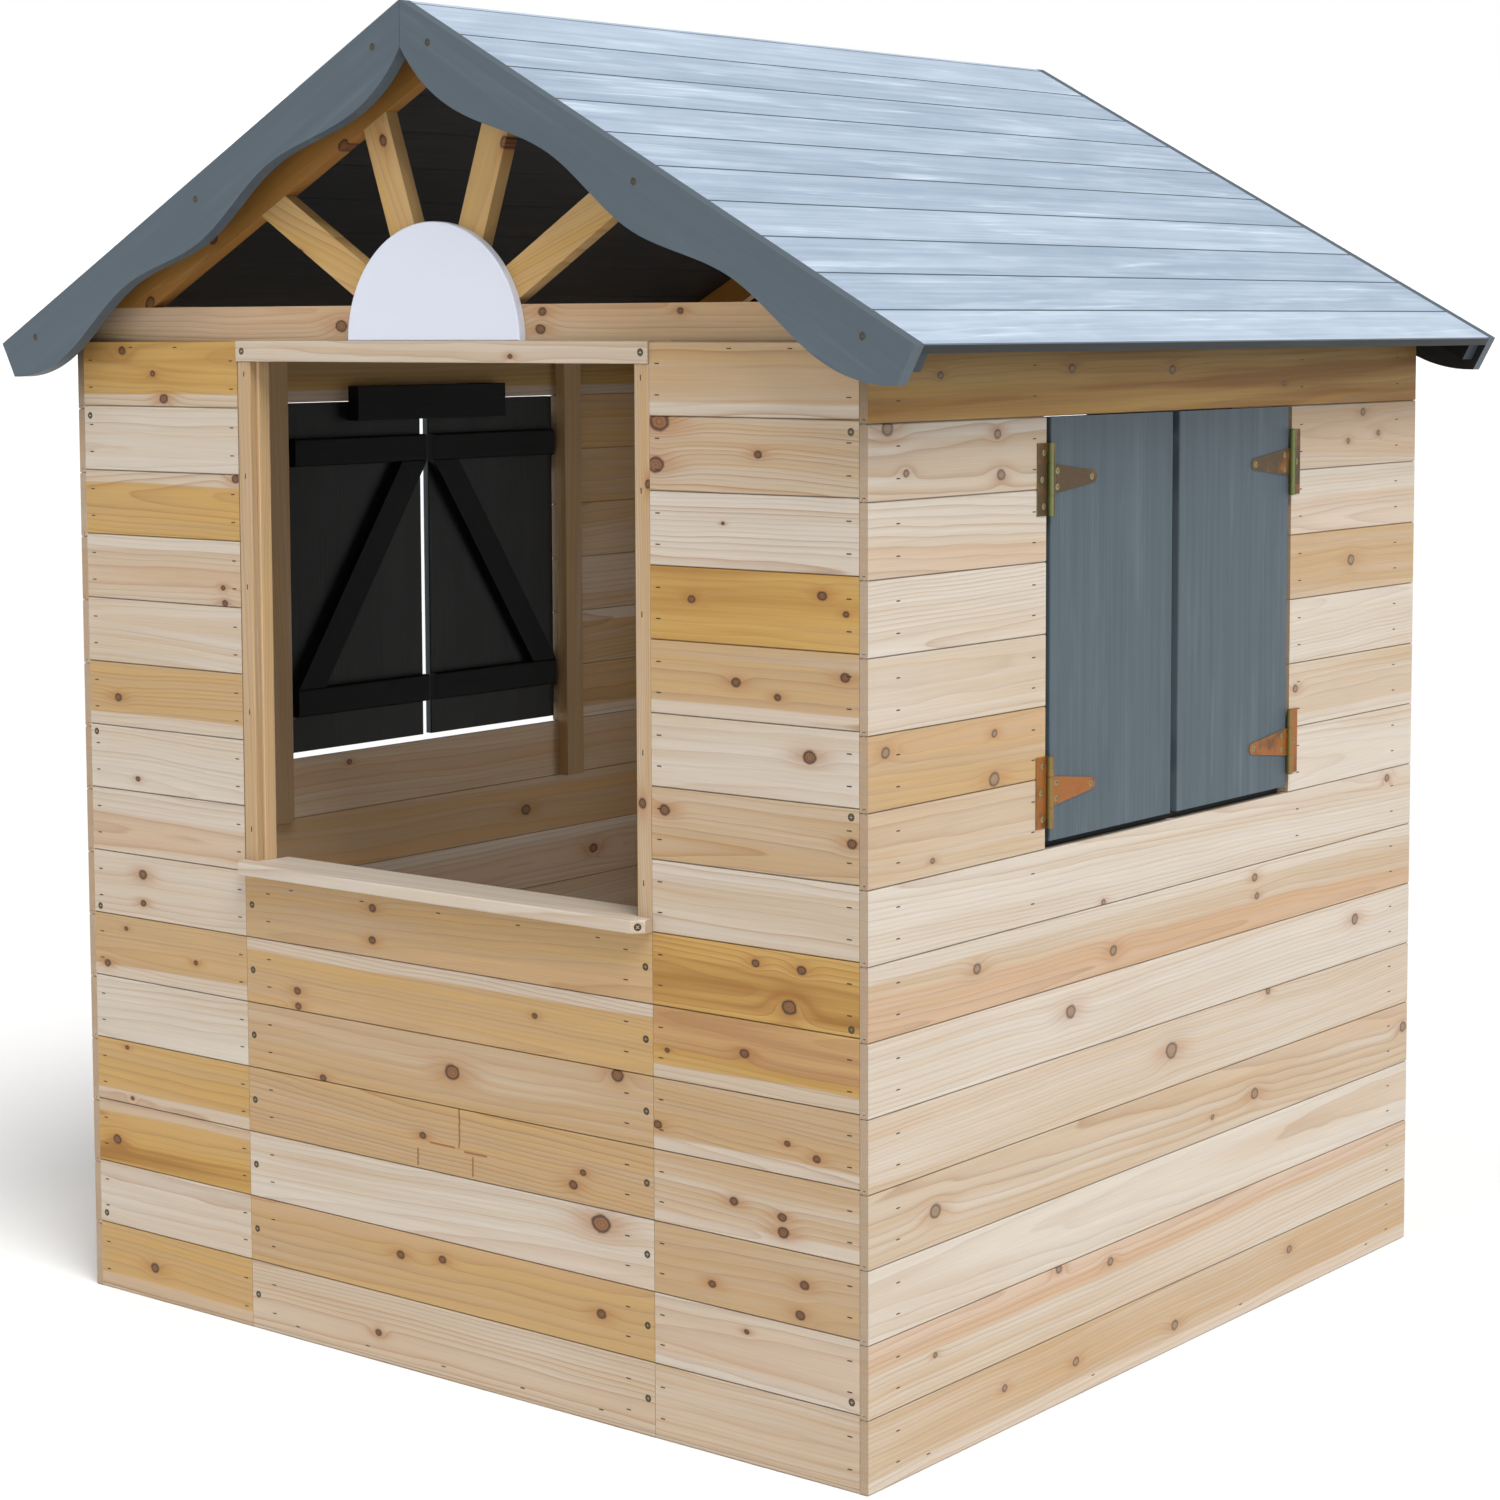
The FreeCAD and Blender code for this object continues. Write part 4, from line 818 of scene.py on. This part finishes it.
# --- Staples that only the eye needs --------------------------------------------------------------------
def staple_tree():
    """Geometry nodes: a wire crown on each point, turned by the point's own rotation."""
    tree = bpy.data.node_groups.new("playhouse_staples", "GeometryNodeTree")
    interface = tree.interface
    interface.new_socket("Points", in_out="INPUT", socket_type="NodeSocketGeometry")
    for name, kind, default in (("Crown", "NodeSocketFloat", 0.0058), ("Wire", "NodeSocketFloat", 0.0011),
                                ("Skew", "NodeSocketFloat", STAPLE_SKEW),
                                ("Seed", "NodeSocketInt", STAPLE_SEED)):
        interface.new_socket(name, in_out="INPUT", socket_type=kind).default_value = default
    interface.new_socket("Material", in_out="INPUT", socket_type="NodeSocketMaterial")
    interface.new_socket("Staples", in_out="OUTPUT", socket_type="NodeSocketGeometry")
    graph = Graph(tree)
    given = graph.node("NodeGroupInput").outputs
    crown = Term(graph, given["Crown"])
    line = graph.node("GeometryNodeCurvePrimitiveLine", None,
                      {"Start": graph.vector(crown * -0.5), "End": graph.vector(crown * 0.5)}).outputs[0]
    ring = graph.node("GeometryNodeCurvePrimitiveCircle", None,
                      {"Resolution": 8, "Radius": Term(graph, given["Wire"]) * 0.5}).outputs[0]
    wire = graph.node("GeometryNodeCurveToMesh", None,
                      {"Curve": line, "Profile Curve": ring, "Fill Caps": True}).outputs[0]
    heading = graph.node("GeometryNodeInputNamedAttribute", {"data_type": "FLOAT_VECTOR"},
                         {"Name": "heading"}).outputs[0]
    skew = graph.node("FunctionNodeRandomValue", {"data_type": "FLOAT"},
                      {2: Term(graph, given["Skew"]) * -1.0, 3: given["Skew"], "Seed": given["Seed"]}).outputs[1]
    lean = graph.vector(0.0, 0.0, skew)
    placed = graph.node("GeometryNodeInstanceOnPoints", None,
                        {"Points": given["Points"], "Instance": wire, "Rotation": heading}).outputs[0]
    turned = graph.node("GeometryNodeRotateInstances", None, {"Instances": placed, "Rotation": lean}).outputs[0]
    real = graph.node("GeometryNodeRealizeInstances", None, {"Geometry": turned}).outputs[0]
    done = graph.node("GeometryNodeSetMaterial", None,
                      {"Geometry": real, "Material": given["Material"]}).outputs[0]
    graph.node("NodeGroupOutput", None, {"Staples": done})
    return tree


def staple_piece(name, spots, material):
    """One mesh of staples from (place, turn) pairs, riding on the house."""
    look = bpy.context.scene.playhouse_metal
    mesh = bpy.data.meshes.new(name + "_points")
    mesh.from_pydata([place for place, _ in spots], [], [])
    heading = mesh.attributes.new("heading", "FLOAT_VECTOR", "POINT")
    for item, (_, turn) in zip(heading.data, spots):
        item.vector = turn
    source = bpy.data.objects.new(name + "_points", mesh)
    bpy.context.scene.collection.objects.link(source)
    tree = bpy.data.node_groups.get("playhouse_staples") or staple_tree()
    modifier = source.modifiers.new("staples", "NODES")
    modifier.node_group = tree
    values = {"Crown": look.staple_crown, "Wire": look.staple_wire, "Skew": STAPLE_SKEW,
              "Seed": STAPLE_SEED, "Material": material}
    for item in tree.interface.items_tree:
        if item.in_out == "INPUT" and item.name in values:
            modifier[item.identifier] = values[item.name]
    made = bpy.data.meshes.new_from_object(source.evaluated_get(bpy.context.evaluated_depsgraph_get()))
    bpy.data.objects.remove(source)
    made.name = name
    piece = bpy.data.objects.new(name, made)
    bpy.context.scene.collection.objects.link(piece)
    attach(piece, HOUSE)


# --- Operators ------------------------------------------------------------------------------------------
class PLAYHOUSE_OT_end_panels(bpy.types.Operator):
    """Give the boards of the front and rear panels their fir grain"""
    bl_idname = "playhouse.end_panels"
    bl_label = "End panel boards"

    def execute(self, context):
        low, high = PANEL_LOW.x, PANEL_HIGH.x
        right = share_of_panel(FRONT_RIGHT_KNOTS, low, high)
        left = share_of_panel(FRONT_LEFT_KNOTS, -high, -low)
        finish_nodes(board_material("fir_front_right", panel_layout, 0, 11.0, FRONT_RIGHT_ROWS, right,
                                    low, high, 3), "front_right_boards")
        finish_nodes(board_material("fir_front_left", panel_layout, 0, 47.0, FRONT_LEFT_ROWS, left,
                                    -high, -low, 3), "front_left_boards")
        for name, seed, start, end in (("rear_right_boards", 81, low, high),
                                       ("rear_left_boards", 113, -high, -low)):
            material = board_material("fir_" + name, panel_layout, 0, float(seed), random_rows(seed, WALL_ROWS),
                                      random_knots(seed, WALL_ROWS, start, end), start, end, 3)
            finish_nodes(material, name)
        return {"FINISHED"}


class PLAYHOUSE_OT_counter_boards(bpy.types.Operator):
    """Give the boards below the counter their fir grain"""
    bl_idname = "playhouse.counter_boards"
    bl_label = "Counter boards"

    def execute(self, context):
        low, high = COUNTER_LOW.x, COUNTER_HIGH.x
        knots = share_of_panel(COUNTER_KNOTS, low, high)
        finish_nodes(board_material("fir_counter", panel_layout, 0, 151.0, COUNTER_TONES, knots, low, high, 3,
                                    cracks=counter_cracks(low, high)), "counter_boards")
        return {"FINISHED"}


def counter_cracks(low, high):
    """Resin cracks in one board: (x, z, half width, half height)."""
    foot = PANEL_LIP + CRACKED_ROW * BOARD_COVER
    return [(low + share * (high - low), foot + rise * BOARD_COVER, half_width, half_height)
            for share, rise, half_width, half_height in COUNTER_CRACKS]


class PLAYHOUSE_OT_side_walls(bpy.types.Operator):
    """Give the boards of both side walls their fir grain"""
    bl_idname = "playhouse.side_walls"
    bl_label = "Side walls"

    def execute(self, context):
        low, high = WALL_LOW.y, WALL_HIGH.y
        rows = len(RIGHT_WALL_TONES)
        right = share_of_panel(RIGHT_WALL_KNOTS, low, high)
        finish_nodes(board_material("fir_right_wall", wall_layout, 1, 191.0, RIGHT_WALL_TONES, right,
                                    low, high, 4, grey=0.6, inner_axis=0, sheltered=True), "right_wall_boards")
        left = random_knots(229, rows, low, high)
        left[6] = [(0.19, 0.45, 7.5)] + left[6][:2]
        left[5] = [(0.33, 0.5, 7)] + left[5][:2]
        finish_nodes(board_material("fir_left_wall", wall_layout, 1, 229.0, LEFT_WALL_TONES, left,
                                    low, high, 3, grey=0.2, inner_axis=0, sheltered=True), "left_wall_boards")
        return {"FINISHED"}


class PLAYHOUSE_OT_framing(bpy.types.Operator):
    """Give battens and eave plates their sawn fir grain"""
    bl_idname = "playhouse.framing"
    bl_label = "Framing"

    def execute(self, context):
        knots = [Knot(0.82, 0.0, 0.006), Knot(0.31, 0.5, 0.007), Knot(1.02, 0.78, 0.005),
                 Knot(0.64, -0.9, 0.006)]
        uprights = bare_fir("fir_battens", upright_layout, 2, 271.0, knots=knots, tone=0.5, heart=0.5,
                            strength=0.5, spacing_scale=0.8, inner_axis=None)
        finish_nodes(uprights, "front_right_battens", "front_left_battens", "counter_battens",
                     "rear_right_battens", "rear_left_battens", "right_wall_battens", "left_wall_battens")
        finish_nodes(bare_fir("fir_plates", plate_layout, 1, 307.0, tone=0.4, inner_axis=None), "eave_plates")
        return {"FINISHED"}


class PLAYHOUSE_OT_planed_trim(bpy.types.Operator):
    """Give the shelf, lintels and hatch trims their planed fir grain"""
    bl_idname = "playhouse.planed_trim"
    bl_label = "Planed trim"

    def execute(self, context):
        knots = [Knot(0.115, -0.016, 0.0022), Knot(-0.2, 0.5, 0.004)]
        finish_nodes(bare_fir("fir_lintel", level_layout, 0, 331.0, knots=knots, tone=0.16, heart=0.1,
                              strength=0.3, spacing_scale=1.5), "hatch_lintel", "doorway_lintel")
        finish_nodes(bare_fir("fir_shelf", shelf_layout, 0, 359.0, tone=0.12, heart=0.2, strength=0.3,
                              spacing_scale=1.3), "counter_shelf")
        knots = [Knot(0.66, 0.29 * 0.9 + TRIM_LOW.y * 0.9, 0.004),
                 Knot(0.985, 0.3 * 0.9 + TRIM_LOW.y * 0.9, 0.003)]
        finish_nodes(bare_fir("fir_trims", upright_layout, 2, 383.0, knots=knots, tone=0.42, heart=0.1,
                              strength=0.6, spacing_scale=0.7), "hatch_trims")
        return {"FINISHED"}


def shelf_layout(graph, x, y, z):
    """The counter shelf, flat-sawn with its grain from side to side."""
    return x, y - SHELF_LOW.y + (z - SHELF_HIGH.z) * 0.8, z, x * 0.0, x * 0.0


class PLAYHOUSE_OT_gable(bpy.types.Operator):
    """Give the beams, rafters and sun rays their fir grain"""
    bl_idname = "playhouse.gable"
    bl_label = "Gable frame"

    def execute(self, context):
        knots = [Knot(-0.145, 0.016, 0.006), Knot(0.15, 0.03, 0.004), Knot(0.147, 0.012, 0.0045),
                 Knot(0.49, 0.022, 0.004), Knot(0.47, 0.03, 0.0035), Knot(0.335, 0.03, 0.003)]
        finish_nodes(bare_fir("fir_beams", level_layout, 0, 409.0, knots=knots, tone=0.4, heart=0.5, strength=0.7),
                     "front_gable_beam", "rear_gable_beam")
        rafters = [Knot(0.19, 0.06, 0.006), Knot(0.42, 0.045, 0.005), Knot(0.55, 0.055, 0.006)]
        finish_nodes(bare_fir("fir_rafters", rafter_layout, None, 431.0, knots=rafters, tone=1.08, heart=0.2,
                              strength=0.7), "front_rafters", "rear_rafters")
        rays = [Knot(0.28, 0.006, 0.006), Knot(0.23, -0.012, 0.0045)]
        finish_nodes(bare_fir("fir_rays", ray_layout, None, 457.0, knots=rays, tone=0.74, heart=0.35, strength=0.8,
                              spacing_scale=0.8), "sun_rays")
        return {"FINISHED"}


class PLAYHOUSE_OT_sun_disc(bpy.types.Operator):
    """Paint the half-round sun"""
    bl_idname = "playhouse.sun_disc"
    bl_label = "Sun disc"

    def execute(self, context):
        finish_nodes(painted("white_sun_paint", tuple(context.scene.playhouse_stain.paint)), "sun_disc")
        return {"FINISHED"}


class PLAYHOUSE_OT_roof_boards(bpy.types.Operator):
    """Stain the roof boards and paint shade on their undersides"""
    bl_idname = "playhouse.roof_boards"
    bl_label = "Roof boards"

    def execute(self, context):
        look = context.scene.playhouse_stain
        # The undersides get painted shade.
        material = stained("roof_board_stain_and_shade", slope_layout, 503.0, tuple(look.roof), tuple(look.roof_pale),
                           tuple(look.roof_edge), 1.0, 0.5, 0.5, 0.006, seam=BOARD_COVER / 2,
                           inside=shade_under_roof, rim=off_slope, shine=0.3)
        finish_nodes(material, "right_roof_boards", "left_roof_boards")
        return {"FINISHED"}


class PLAYHOUSE_OT_barge_boards(bpy.types.Operator):
    """Stain the barge boards and the battens behind them, and paint shade on the battens and on faces towards the
    walls
    """
    bl_idname = "playhouse.barge_boards"
    bl_label = "Barge boards"

    def execute(self, context):
        look = context.scene.playhouse_stain
        # Faces towards the walls get painted shade.
        material = stained("barge_board_stain_and_shade", rafter_layout, 541.0, tuple(look.barge), tuple(look.barge_pale),
                           tuple(look.roof_edge), 0.45, 0.5, 0.3, 0.008, inside=shaded_indoors_y, shine=0.35)
        finish_nodes(material, "front_right_barge_board", "front_left_barge_board", "rear_right_barge_board",
                     "rear_left_barge_board")
        # Painted shade: the end battens take the barge colours darkened to 0.45, a shaded copy of the barge stain.
        shaded_barge_colours = [tuple(part * 0.45 for part in colour)
                  for colour in (look.barge, look.barge_pale, look.roof_edge)]
        finish_nodes(stained("end_batten_shaded_stain", rafter_layout, 557.0, *shaded_barge_colours, 0.45, 0.55, 0.3, 0.008,
                             inside=shaded_indoors_y, shine=0.2), "roof_end_battens")
        return {"FINISHED"}


class PLAYHOUSE_OT_shutters(bpy.types.Operator):
    """Stain the shutters, their braces and the window stops, and paint shade on the braces, the stops and the
    shutters' indoor faces
    """
    bl_idname = "playhouse.shutters"
    bl_label = "Shutters"

    def execute(self, context):
        look = context.scene.playhouse_stain
        colours = (tuple(look.shutter), tuple(look.shutter_pale), tuple(look.roof_edge))
        boards = stained("shutter_board_stain_and_shade", shutter_layout, 577.0, *colours, 0.8, 0.48, 0.35, 0.006,
                         inside=shaded_indoors_x, shine=0.3)
        # The braces and window stops get painted shade all over.
        level = stained("shutter_brace_stain_and_shade", brace_layout, 601.0, *colours, 0.8, 0.5, 0.35, 0.006,
                        inside=shaded_everywhere, shine=0.12)
        for corner in SHUTTERS:
            finish_nodes(boards, corner + "_shutter_board")
            finish_nodes(level, corner + "_shutter_braces")
        finish_nodes(level, "right_window_stop", "left_window_stop")
        return {"FINISHED"}


def shutter_layout(graph, x, y, z):
    """A shutter's upright board."""
    side = graph.math("GREATER_THAN", y, 0.0) + graph.math("GREATER_THAN", x, 0.0) * 2.0
    return z, y, x, side, side


def brace_layout(graph, x, y, z):
    """Rails across a shutter, and the diagonal between them."""
    level = graph.smooth(abs(z - SHUTTER_MIDDLE), BRACE_REACH - 0.0005, BRACE_REACH + 0.0005)
    reach = abs(y)
    slant_along = z * math.sin(BRACE_LEAN) - reach * math.cos(BRACE_LEAN)
    slant_across = z * math.cos(BRACE_LEAN) + reach * math.sin(BRACE_LEAN)
    along = slant_along + (y - slant_along) * level
    across = slant_across + (z - slant_across) * level
    row = graph.math("FLOOR", z * 3.0) + graph.math("SIGN", y) * 7.0
    return along, across, x, row, row


class PLAYHOUSE_OT_hinges(bpy.types.Operator):
    """Give the hinges their passivated film"""
    bl_idname = "playhouse.hinges"
    bl_label = "Hinges"

    def execute(self, context):
        film = passivated("yellow_zinc")
        finish_nodes(film, "hinge_plates", "hinge_pins")
        for corner in SHUTTERS:
            finish_nodes(film, corner + "_hinge_straps")
        return {"FINISHED"}


class PLAYHOUSE_OT_fasteners(bpy.types.Operator):
    """Give screws and staples their dull steel, and add the staples of the hatch trims"""
    bl_idname = "playhouse.fasteners"
    bl_label = "Screws and staples"

    def execute(self, context):
        look = context.scene.playhouse_metal
        screws = coated_steel("screw_steel", tuple(look.steel), 0.34)
        hinge_screws = coated_steel("hinge_screw_steel", tuple(look.hinge_screw), 0.3)
        staples = coated_steel("staple_steel", tuple(look.staple), 0.5)
        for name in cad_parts:
            if name.endswith("_staples"):
                finish_nodes(staples, name)
            elif name.endswith(("strap_screws", "plate_screws")):
                finish_nodes(hinge_screws, name)
            elif name.endswith("_screws"):
                finish_nodes(screws, name)
        staple_piece("trim_staples", trim_staple_spots(), staples)
        return {"FINISHED"}


def trim_staple_spots():
    """Upright staples down the hatch trims."""
    spots = []
    for side in (-1, 1):
        for height in TRIM_STAPLE_HEIGHTS:
            place = (side * (TRIM_HIGH.x - TRIM_STAPLE_INSET), TRIM_LOW.y, height)
            spots.append((place, (0.0, math.pi / 2, 0.0)))
    return spots


class PLAYHOUSE_OT_stage(bpy.types.Operator):
    """Add the floor, the lights and the camera"""
    bl_idname = "playhouse.stage"
    bl_label = "Stage"

    def execute(self, context):
        look = context.scene.playhouse_stage
        add_floor(look)
        add_lights(look)
        add_camera(look)
        return {"FINISHED"}


def add_floor(look):
    """A round pale floor that rises gently at its far rim."""
    rings = ((0.25, 0.0), (0.6, 0.0), (0.8, 0.01), (0.92, 0.045), (1.0, 0.12))
    steps = 64
    drop = 0.0005
    points = [(0.0, 0.0, -drop)]
    faces = []
    for ring, (reach, rise) in enumerate(rings):
        for step in range(steps):
            angle = 2 * math.pi * step / steps
            radius = look.floor_radius * reach
            points.append((radius * math.cos(angle), radius * math.sin(angle), look.floor_radius * rise - drop))
        for step in range(steps):
            here = 1 + ring * steps + step
            after = 1 + ring * steps + (step + 1) % steps
            faces.append((0, here, after) if ring == 0 else (here - steps, here, after, after - steps))
    mesh = bpy.data.meshes.new("floor")
    mesh.from_pydata(points, [], faces)
    for polygon in mesh.polygons:
        polygon.use_smooth = True
    material, graph = new_material("pale_floor")
    x, y, z = graph.place()
    soft = graph.noise(graph.vector(x, y, z), 3.0, 2.0)
    graph.surface(graph.shade(tuple(look.floor), 0.985 + soft * 0.02), 0.75 + soft * 0.1, soft, 0.0005, 0.1,
                  {"Specular IOR Level": 0.2})
    mesh.materials.append(material)
    floor = bpy.data.objects.new("floor", mesh)
    bpy.context.scene.collection.objects.link(floor)


def add_light(name, place, target, size, power, tint, kind="AREA"):
    """A light that faces target; size is a disc's width, or the angle of a distant light."""
    lamp = bpy.data.lights.new(name, kind)
    if kind == "SUN":
        lamp.angle = size
    else:
        lamp.shape = "DISK"
        lamp.size = size
    lamp.energy = power
    lamp.color = tint
    holder = bpy.data.objects.new(name, lamp)
    direction = Vector(target) - Vector(place)
    holder.matrix_world = Matrix.Translation(place) @ direction.to_track_quat("-Z", "Y").to_matrix().to_4x4()
    bpy.context.scene.collection.objects.link(holder)


def add_lights(look):
    """A broad overhead light from the right, fills in front and at the side, and a bright horizon."""
    middle = (0.0, 0.0, 0.7)
    add_light("overhead_light", (2.9, -1.6, 5.4), middle, look.softness, look.overhead, (1.0, 0.995, 0.985), "SUN")
    add_light("front_light", (-0.6, -6.6, 2.8), middle, 3.6, look.front, (1.0, 0.985, 0.96))
    add_light("side_light", (6.8, -1.2, 2.4), middle, 3.6, look.side, (1.0, 0.985, 0.965))
    world = bpy.data.worlds.new("studio")
    world.use_nodes = True
    graph = Graph(world.node_tree)
    height = graph.split(graph.node("ShaderNodeTexCoord").outputs["Generated"])[2]
    strength = graph.smooth(height, 0.3, 0.12) * (1.0 - look.sky) + look.sky
    sky = graph.node("ShaderNodeBackground", None, {"Color": (1.0, 1.0, 1.0, 1.0), "Strength": strength})
    graph.node("ShaderNodeOutputWorld", None, {"Surface": sky.outputs[0]})
    bpy.context.scene.world = world
    bpy.context.scene.view_settings.view_transform = "Standard"


def add_camera(look):
    """The camera, with no depth of field."""
    camera = bpy.data.cameras.new("camera")
    camera.sensor_width = 36.0
    camera.lens = look.lens
    camera.shift_y = look.shift
    camera.dof.use_dof = False
    camera.clip_end = 200.0
    holder = bpy.data.objects.new("camera", camera)
    sight = (Matrix.Rotation(look.yaw, 4, "Z") @ Matrix.Rotation(math.pi / 2 - look.pitch, 4, "X")
             @ Matrix.Rotation(look.roll, 4, "Z"))
    holder.matrix_world = Matrix.Translation(Vector(look.camera)) @ sight
    bpy.context.scene.collection.objects.link(holder)
    bpy.context.scene.camera = holder


OPERATORS = (
    PLAYHOUSE_OT_end_panels,
    PLAYHOUSE_OT_counter_boards,
    PLAYHOUSE_OT_side_walls,
    PLAYHOUSE_OT_framing,
    PLAYHOUSE_OT_planed_trim,
    PLAYHOUSE_OT_gable,
    PLAYHOUSE_OT_sun_disc,
    PLAYHOUSE_OT_roof_boards,
    PLAYHOUSE_OT_barge_boards,
    PLAYHOUSE_OT_shutters,
    PLAYHOUSE_OT_hinges,
    PLAYHOUSE_OT_fasteners,
    PLAYHOUSE_OT_stage,
)
SETTINGS = {
    "playhouse_timber": PlayhouseTimber,
    "playhouse_stain": PlayhouseStain,
    "playhouse_metal": PlayhouseMetal,
    "playhouse_stage": PlayhouseStage,
}


class PLAYHOUSE_PT_sidebar(bpy.types.Panel):
    """Lists the playhouse's pieces and its stage"""
    bl_idname = "PLAYHOUSE_PT_sidebar"
    bl_label = "Playhouse"
    bl_space_type = "VIEW_3D"
    bl_region_type = "UI"
    bl_category = "Playhouse"

    def draw(self, context):
        for operator in OPERATORS:
            self.layout.operator(operator.bl_idname)


def register():
    for name, group in SETTINGS.items():
        bpy.utils.register_class(group)
        setattr(bpy.types.Scene, name, bpy.props.PointerProperty(type=group))
    for operator in OPERATORS:
        bpy.utils.register_class(operator)
    bpy.utils.register_class(PLAYHOUSE_PT_sidebar)


def unregister():
    bpy.utils.unregister_class(PLAYHOUSE_PT_sidebar)
    for operator in reversed(OPERATORS):
        bpy.utils.unregister_class(operator)
    for name, group in reversed(SETTINGS.items()):
        delattr(bpy.types.Scene, name)
        bpy.utils.unregister_class(group)


def main():
    """Makes every piece and the stage in order."""
    register()
    for operator in OPERATORS:
        group, name = operator.bl_idname.split(".")
        getattr(getattr(bpy.ops, group), name)()


if __name__ == "__main__":
    main()
